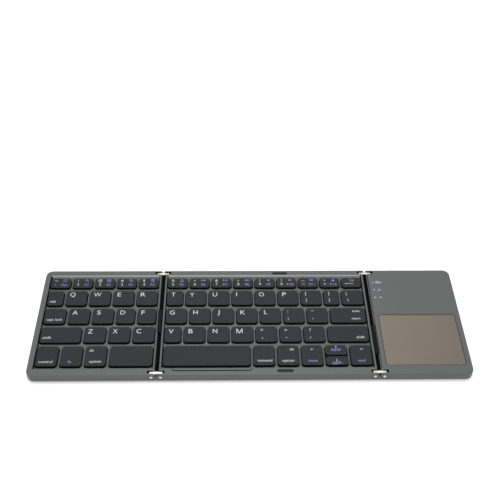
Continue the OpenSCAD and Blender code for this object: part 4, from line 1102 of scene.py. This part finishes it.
def house(ink, x, y):
    ink.stroke(at(x, y, [(-0.95, -0.1), (-0.95, -1.2), (0.95, -1.2), (0.95, -0.1)]), LINE)
    ink.stroke(at(x, y, [(-1.7, 0.0), (0, 1.35), (1.7, 0.0)]), LINE)


def magnifier(ink, x, y):
    ink.stroke(at(x, y, ring_points(0.85, cx=-0.35, cy=0.35)), LINE, closed=True)
    ink.stroke(at(x, y, [(0.38, -0.38), (1.35, -1.3)]), LINE * 1.5)


def select_all(ink, x, y):
    ink.stroke(at(x, y, [(-1.3, -1.2), (1.3, -1.2), (1.3, 1.2), (-1.3, 1.2)]), LINE,
               closed=True)
    for row in (-0.5, 0.0, 0.5):
        ink.stroke(at(x, y, [(-0.7, row), (0.7, row)]), LINE * 0.9)


def copy_sheets(ink, x, y):
    ink.stroke(at(x, y, [(-1.2, -0.35), (-1.2, 1.25), (0.35, 1.25), (0.35, 0.75)]), LINE)
    ink.stroke(at(x, y, [(-0.5, -1.2), (1.25, -1.2), (1.25, 0.4), (-0.5, 0.4)]), LINE,
               closed=True)


def clipboard(ink, x, y):
    ink.stroke(at(x, y, [(-1.05, -1.25), (1.05, -1.25), (1.05, 1.0), (-1.05, 1.0)]), LINE,
               closed=True)
    ink.area(at(x, y, [(-0.5, 1.2), (0.5, 1.2), (0.5, 1.45), (-0.5, 1.45)]))
    for row in (-0.6, 0.0, 0.5):
        ink.stroke(at(x, y, [(-0.6, row), (0.6, row)]), LINE * 0.8)


def cutting_shears(ink, x, y):
    ink.stroke(at(x, y, [(-0.5, -0.55), (0.0, 0.3), (0.65, 1.4)]), LINE)
    ink.stroke(at(x, y, [(0.5, -0.55), (0.18, 0.0)]), LINE)
    ink.stroke(at(x, y, [(-0.18, 0.6), (-0.65, 1.4)]), LINE)
    for side in (-1, 1):
        ink.stroke(at(x, y, ring_points(0.4, 12, cx=side * 0.72, cy=-0.95)), LINE, closed=True)


def triangle(ink, x, y, w, h):
    """A filled triangle that points to +X, or to -X if w is negative."""
    ink.area(at(x, y, [(-w / 2, -h / 2), (w / 2, 0), (-w / 2, h / 2)]))


def bar(ink, x, y, h, w=0.3, tone=BLUE):
    ink.area(at(x, y, [(-w / 2, -h / 2), (w / 2, -h / 2), (w / 2, h / 2), (-w / 2, h / 2)]),
             tone)


def back_track(ink, x, y):
    bar(ink, x - 1.75 * MM, y, 1.5)
    triangle(ink, x - 0.75 * MM, y, -1.4, 1.5)
    triangle(ink, x + 0.75 * MM, y, -1.4, 1.5)


def play_pause(ink, x, y):
    triangle(ink, x - 1.0 * MM, y, 1.5, 1.5)
    bar(ink, x + 0.4 * MM, y, 1.5, 0.42)
    bar(ink, x + 1.2 * MM, y, 1.5, 0.42)


def next_track(ink, x, y):
    triangle(ink, x - 0.75 * MM, y, 1.4, 1.5)
    triangle(ink, x + 0.75 * MM, y, 1.4, 1.5)
    bar(ink, x + 1.75 * MM, y, 1.5)


def loudspeaker(ink, x, y, waves=0):
    x -= 0.35 * MM * waves
    ink.area(at(x, y, [(-0.9, -0.4), (-0.3, -0.4), (0.6, -1.1), (0.6, 1.1), (-0.3, 0.4),
                       (-0.9, 0.4)]))
    for i in range(waves):
        ink.stroke(at(x, y, ring_points(0.75 + 0.6 * i, 9, -48, 96, cx=0.55)), LINE)


def padlock(ink, x, y):
    ink.area(at(x, y, [(-0.85, -1.3), (0.85, -1.3), (0.85, 0.05), (-0.85, 0.05)]))
    ink.stroke(at(x, y, [(-0.55, 0.05)] + ring_points(0.55, 9, 180, -180, cy=0.7)
                  + [(0.55, 0.05)]), LINE)


def small_arrow(ink, x, y, direction, length=1.9):
    """A white arrow with a filled head; direction is in quarter turns from +X."""
    c, s = ((1, 0), (0, 1), (-1, 0), (0, -1))[direction]

    def turned(points):
        return at(x, y, [(px * c - py * s, px * s + py * c) for px, py in points])

    head = length / 2 - 0.95
    ink.area(turned([(length / 2, 0), (head, 0.55), (head, -0.55)]), WHITE)
    ink.area(turned([(-length / 2, -0.16), (head - 0.02, -0.16), (head - 0.02, 0.16),
                     (-length / 2, 0.16)]), WHITE)


print("signs are drawn with lines of", LINE / MM, "mm")

# %% [markdown]
# ### What each key says
# Single letters sit at the rear left of their keys, pairs of signs stand in a column at the
# left, and words are small, most of them near the front. The places are measured from each
# key's own edges, so one table works for keys of every width. The number row carries two
# columns: white signs and digits, and blue second functions.

# %% Legends of each key
CAP, SMALL, DIGIT = 4.1 * MM, 2.35 * MM, 2.5 * MM
# The printed letters have more even widths than the font's, and the print isn't quite in
# register with the keys: for each letter, its shift to the right and to the rear in mm, and
# its width against the font's.
LETTER_FIT = {
    "Q": (0.1, 0.1, 0.98), "W": (0.2, -0.1, 0.93), "E": (0.8, 0.0, 1.15),
    "R": (0.7, -0.1, 1.18), "A": (0.35, -0.2, 0.98), "S": (1.0, -0.2, 1.25),
    "D": (0.35, -0.2, 0.97), "F": (0.5, -0.2, 1.14), "Z": (0.2, -0.45, 0.94),
    "X": (0.3, -0.4, 0.88), "C": (0.0, -0.45, 0.97), "T": (0.7, -0.25, 0.88),
    "Y": (0.8, -0.45, 0.95), "U": (0.65, -0.3, 0.96), "I": (1.05, -0.15, 1.0),
    "O": (0.65, -0.3, 0.92), "P": (1.3, -0.25, 1.14), "G": (0.5, -0.4, 1.0),
    "H": (0.4, -0.3, 0.98), "J": (1.1, -0.1, 1.1), "K": (0.6, -0.45, 1.03),
    "L": (0.75, -0.35, 0.95), "V": (0.6, -0.75, 1.0), "B": (1.2, -0.6, 1.12),
    "N": (1.05, -0.6, 0.9), "M": (1.35, -0.75, 1.0)}
CAPITAL_M = [(0, 0), (0.12, 0), (0.12, 0.76), (0.475, 0), (0.585, 0), (0.94, 0.76), (0.94, 0),
             (1.06, 0), (1.06, 1), (0.905, 1), (0.53, 0.2), (0.155, 1), (0, 1)]


def letter(text):
    """A capital at a key's rear left; M is drawn, because the font's has a short middle."""
    right, rear, stretch = LETTER_FIT[text]

    def draw(ink, k):
        base = k[3] + (rear - 1.5) * MM - CAP
        width = max(p[0] for p in letter_shapes(text)[0]) * CAP / FONT_CAP
        middle = k[0] + (2.35 + right) * MM + width / 2
        if text == "M":
            ink.area([(middle + (px - 0.53) * CAP, base + py * CAP) for px, py in CAPITAL_M],
                     WHITE)
        else:
            ink.word(text, middle, base, CAP, WHITE, "middle", stretch)
    return draw


# The same for the signs that stand in pairs: shift to the right and to the rear, and size.
SIGN_FIT = {
    "{": (0.5, -0.45, 2.9), "[": (0.85, 0.0, 2.4), "}": (0.75, -0.4, 2.9),
    "]": (0.55, 0.0, 2.4), "|": (0.5, -0.7, 2.9), "\\": (1.25, 0.0, 2.9),
    ":": (0.0, -0.4, 3.0), ";": (0.0, -0.5, 3.4), '"': (0.85, 0.2, 2.9),
    "'": (0.85, -0.4, 3.5), "<": (1.0, -0.3, 2.9), ",": (1.35, -1.0, 3.7),
    ">": (1.2, -0.45, 2.9), ".": (1.4, -0.45, 4.6), "?": (1.5, -0.5, 2.9),
    "/": (1.35, -0.4, 2.5)}


def pair(rear, front):
    """Two signs in a column at the key's left."""
    def draw(ink, k):
        for sign, y in ((rear, k[3] - 3.1 * MM), (front, k[2] + 4.1 * MM)):
            right, back, size = SIGN_FIT[sign]
            mark(ink, sign, k[0] + (3.35 + right) * MM, y + back * MM, size * MM)
    return draw


def mark(ink, text, x, y, cap, tone=WHITE, stretch=1.0):
    """A sign centred on a place, whatever its height."""
    if text in "_-":
        half, drop = cap * 0.5, (-0.25 * cap if text == "_" else 0)
        ink.area([(x - half, y + drop - 0.14 * MM), (x + half, y + drop - 0.14 * MM),
                  (x + half, y + drop + 0.14 * MM), (x - half, y + drop + 0.14 * MM)], tone)
        return
    points = letter_shapes(text)[0]
    low, high = min(p[1] for p in points), max(p[1] for p in points)
    size = cap / FONT_CAP
    ink.word(text, x, y - (low + high) / 2 * size, cap, tone, "middle", stretch)


def figure_one(ink, text, x, y, cap):
    """A figure 1 with a flag, which the font's own 1 is too narrow to show."""
    outline = [(0.0, -0.5), (0.17, -0.5), (0.17, 0.5), (0.05, 0.5), (-0.02, 0.36),
               (-0.2, 0.26), (-0.2, 0.11), (0.0, 0.2)]
    ink.area([(x + px * cap, y + py * cap) for px, py in outline], WHITE)


def number(sign, digit, label, draw_sign):
    """White sign and digit, blue picture and blue label."""
    def draw(ink, k):
        rear, front = k[3] - 2.35 * MM, k[3] - 6.05 * MM
        mark(ink, sign, k[0] + 3.8 * MM, rear, DIGIT * (1.25 if sign == "~" else 1.0))
        draw_digit = figure_one if digit == "1" else mark
        is_tick = digit == "`"
        draw_digit(ink, digit, k[0] + (3.3 if is_tick else 3.9) * MM, front,
                   DIGIT * (1.4 if is_tick else 1.0))
        draw_sign(ink, k[0] + 10.3 * MM, rear + 0.3 * MM)
        ink.word(label, k[0] + 10.25 * MM, front - DIGIT / 2 - 0.05 * MM, DIGIT * 0.86, BLUE,
                 "middle", WORD_WIDTH.get(label, 1.1))
    return draw


WORD_WIDTH = {"caps lock": 0.92, "enter": 0.82, "return": 0.76, "command": 0.80,
              "home": 0.86, "Del": 0.74, "Esc": 1.18, "option": 0.99, "control": 1.01,
              "alt": 0.96, "F7": 1.25, "F10": 1.22, "F12": 1.22}     # the rest 1.1 or 1.12


def words(*items):
    """Small words: (text, side, distance from that side, baseline height, ink) each."""
    def draw(ink, k):
        for text, side, inset, height, tone in items:
            x = {"left": k[0] + inset * MM, "right": k[1] - inset * MM,
                 "middle": (k[0] + k[1]) / 2 + inset * MM}[side]
            ink.word(text, x, k[2] + height * MM, SMALL, tone, side,
                     WORD_WIDTH.get(text, 1.12))
    return draw


def arrow_key(direction, arrow_x, arrow_y, text, text_x, text_y):
    def draw(ink, k):
        middle = (k[0] + k[1]) / 2
        small_arrow(ink, middle + arrow_x * MM, k[3] - arrow_y * MM, direction)
        ink.word(text, middle + text_x * MM, k[3] - text_y * MM, SMALL, BLUE, "middle",
                 WORD_WIDTH.get(text, 1.12))
    return draw


def rub_out(ink, k):
    """The backspace key's long arrow, and its second function."""
    small_arrow(ink, k[0] + 5.85 * MM, k[3] - 5.75 * MM, 2, length=6.2)
    ink.word("Del", k[0] + 8.25 * MM, k[3] - 3.5 * MM, SMALL, BLUE, "middle",
             WORD_WIDTH["Del"])


legends = {
    "left_number_keys": [number("~", "`", "Esc", house), number("!", "1", "F1", magnifier),
                         number("@", "2", "F2", select_all),
                         number("#", "3", "F3", copy_sheets),
                         number("$", "4", "F4", clipboard)],
    "middle_number_keys": [
        number("%", "5", "F5", cutting_shears), number("^", "6", "F6", back_track),
        number("&", "7", "F7", play_pause), number("*", "8", "F8", next_track),
        number("(", "9", "F9", loudspeaker),
        number(")", "0", "F10", lambda ink, x, y: loudspeaker(ink, x, y, 1)),
        number("_", "-", "F11", lambda ink, x, y: loudspeaker(ink, x, y, 2)),
        number("+", "=", "F12", padlock)],
    "backspace_key": [rub_out],
    "tab_key": [words(("tab", "left", 1.8, 2.7, WHITE))],
    "qwer_keys": [letter(c) for c in "QWER"],
    "caps_lock_key": [words(("caps lock", "left", 2.3, 2.7, WHITE))],
    "asdf_keys": [letter(c) for c in "ASDF"],
    "left_shift_key": [words(("shift", "left", 1.95, 3.35, WHITE))],
    "zxc_keys": [letter(c) for c in "ZXC"],
    "control_key": [words(("control", "left", 2.5, 2.8, WHITE))],
    "fn_key": [words(("fn", "middle", -0.6, 2.6, BLUE))],
    "left_option_key": [words(("alt", "left", 2.7, 12.5, WHITE),
                              ("option", "left", 3.5, 2.85, WHITE))],
    "upper_letter_keys": [letter(c) for c in "TYUIOP"]
                         + [pair("{", "["), pair("}", "]"), pair("|", "\\")],
    "home_letter_keys": [letter(c) for c in "GHJKL"] + [pair(":", ";"), pair('"', "'")],
    "enter_key": [words(("enter", "right", 3.7, 9.8, WHITE),
                        ("return", "right", 4.35, 2.8, WHITE))],
    "lower_letter_keys": [letter(c) for c in "VBNM"]
                         + [pair("<", ","), pair(">", "."), pair("?", "/")],
    "right_shift_key": [words(("shift", "right", 3.05, 2.7, WHITE))],
    "right_modifier_keys": [words(("command", "middle", 0.5, 3.1, WHITE)),
                            words(("alt", "right", 3.2, 12.75, WHITE),
                                  ("option", "middle", -0.15, 2.9, WHITE))],
    "left_arrow_key": [arrow_key(2, 0, 3.8, "home", 0.35, 14.7)],
    "up_arrow_key": [arrow_key(1, 0, 1.75, "pgup", 0, 4.8)],
    "down_arrow_key": [arrow_key(3, -0.3, 3.7, "pgdn", 0, 6.7)],
    "right_arrow_key": [arrow_key(0, 0.7, 3.8, "end", 0, 14.7)],
}
marked = 0
for node, drawings in legends.items():
    ink = Ink(key_top)
    assert len(drawings) == len(key_boxes[node]), node
    for box, draw in zip(key_boxes[node], drawings):
        draw(ink, box)
        marked += 1
    piece = ink.shape(node + "_legends", ("white_ink", "blue_ink"), node, smooth=False)
print(marked, "keys carry legends; the two space bars are plain")

# %% [markdown]
# ## Marks beside the status lights
# The touchpad panel has three small lights near the fold. Each has a mark in pale ink: a
# battery for charging, radio waves for the wireless link, and a letter A for caps lock.

# %% Status marks
GREY = 0                    # the first ink of the status marks
low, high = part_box("status_lights")
panel_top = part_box("right_top_cover")[1].z
lights = solids_of("status_lights")
lights.sort(key=lambda b: -b[2])
marks = Ink(panel_top)
mark_x = high.x + 3.2 * MM
rows = [(b[2] + b[3]) / 2 for b in lights]
marks.stroke(at(mark_x, rows[0], [(-1.85, -0.9), (1.5, -0.9), (1.5, 0.9), (-1.85, 0.9)]),
             LINE * 1.1, GREY, closed=True)
bar(marks, mark_x + 1.98 * MM, rows[0], 0.9, 0.32, GREY)
for i in range(2):
    bar(marks, mark_x + (-1.05 + 0.9 * i) * MM, rows[0], 0.95, 0.55, GREY)
wave_x, wave_y = mark_x - 0.9 * MM, rows[1] - 0.9 * MM
bar(marks, wave_x, wave_y, 0.5, 0.5, GREY)
for r in (0.95, 1.7):
    marks.stroke(at(wave_x, wave_y, ring_points(r, 9, 5, 80)), LINE * 1.1, GREY)
mark(marks, "A", mark_x, rows[2], 2.0 * MM, GREY, 1.1)
piece = marks.shape("status_marks", ("grey_ink", "blue_ink"), "right_panel", smooth=False)
print(len(rows), "status marks at y", [round(v / MM, 1) for v in rows], "mm")

# %% [markdown]
# ## The rubber strips and flat cables in the folds
# A rubber strip lies in each fold and hides the flat cable. Both are soft: when the keyboard
# closes, the two panel ends squeeze them. Each is cut into two halves here, and each half is
# its own piece on the links. The strip's section follows the CAD solid: flat on top, hollow
# towards the round panel ends. The cables are cut out of the CAD mesh.

# %% Rubber strips and flat cables
END_R, PIN_Z, PIN_GAP, STRIP_CLEAR = 3.1 * MM, 4.9 * MM, 6.4 * MM, 0.6 * MM
THINNEST, SOFT_R = 0.2 * MM, 0.25 * MM      # least half width; rounding of the top edge
END_EASE, EASED_FROM = 0.3 * MM, 0.5 * MM   # rounding of the ends, less where it is thin


def half_strip(name, node, body, joint, side):
    """Half of a strip, from the fold's middle to its left (-1) or right (+1) edge."""
    low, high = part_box(node)
    fold = (low.x + high.x) / 2
    levels = np.linspace(low.z, high.z, 9)
    edge_x = [max(THINNEST, PIN_GAP / 2 - math.sqrt(max(0, END_R ** 2 - (z - PIN_Z) ** 2))
                  - STRIP_CLEAR) for z in levels]
    section = [(0.0, low.z)] + [(w, z) for w, z in zip(edge_x, levels) if z < high.z - SOFT_R]
    top_w = edge_x[-1]
    section += [(top_w - SOFT_R * (1 - math.cos(a)), high.z - SOFT_R * (1 - math.sin(a)))
                for a in np.linspace(0, math.pi / 2, 4)]
    section.append((0.0, high.z))
    strip = Sheaf()
    rings = []
    for inset, y in ((END_EASE, low.y), (0.0, low.y + END_EASE), (0.0, (low.y + high.y) / 2),
                     (0.0, high.y - END_EASE), (END_EASE, high.y)):
        rings.append([(fold + side * max(0.0, w - inset * min(1, w / EASED_FROM)), y, z)
                      for w, z in section])
    strip.loft(rings)
    piece = strip.shape(name, ("strip_rubber",), body)
    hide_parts(node)
    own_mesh(piece)
    return piece


def half_cable(name, node, body, side):
    """Half of a flat cable, cut out of the CAD mesh at the fold's middle."""
    low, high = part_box(node)
    fold = (low.x + high.x) / 2

    def keep_faces(work):
        bmesh.ops.bisect_plane(work, geom=work.verts[:] + work.edges[:] + work.faces[:],
                               plane_co=(fold, 0, 0), plane_no=(side, 0, 0),
                               clear_inner=True)
        bmesh.ops.holes_fill(work, edges=[e for e in work.edges if e.is_boundary])

    piece = cad_copy(node, name, "cable_film", body, 0.02 * MM, keep_faces)
    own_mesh(piece)


for side in ("left", "right"):
    outer, inner = (-1, 1) if side == "left" else (1, -1)
    half_cable(side + "_cable_outer", side + "_flat_cable", side + "_links",
               outer)
    half_cable(side + "_cable_inner", side + "_flat_cable", side + "_links",
               inner)

for half in (("left_strip_outer", "left_cable_strip", "left_links", "left_panel_hinge", -1),
             ("left_strip_inner", "left_cable_strip", "left_links", "left_link_hinge", 1),
             ("right_strip_inner", "right_cable_strip", "right_links", "right_link_hinge", -1),
             ("right_strip_outer", "right_cable_strip", "right_links", "right_panel_hinge",
              1)):
    piece = half_strip(*half)
    print(piece.name, len(piece.data.vertices), "points")
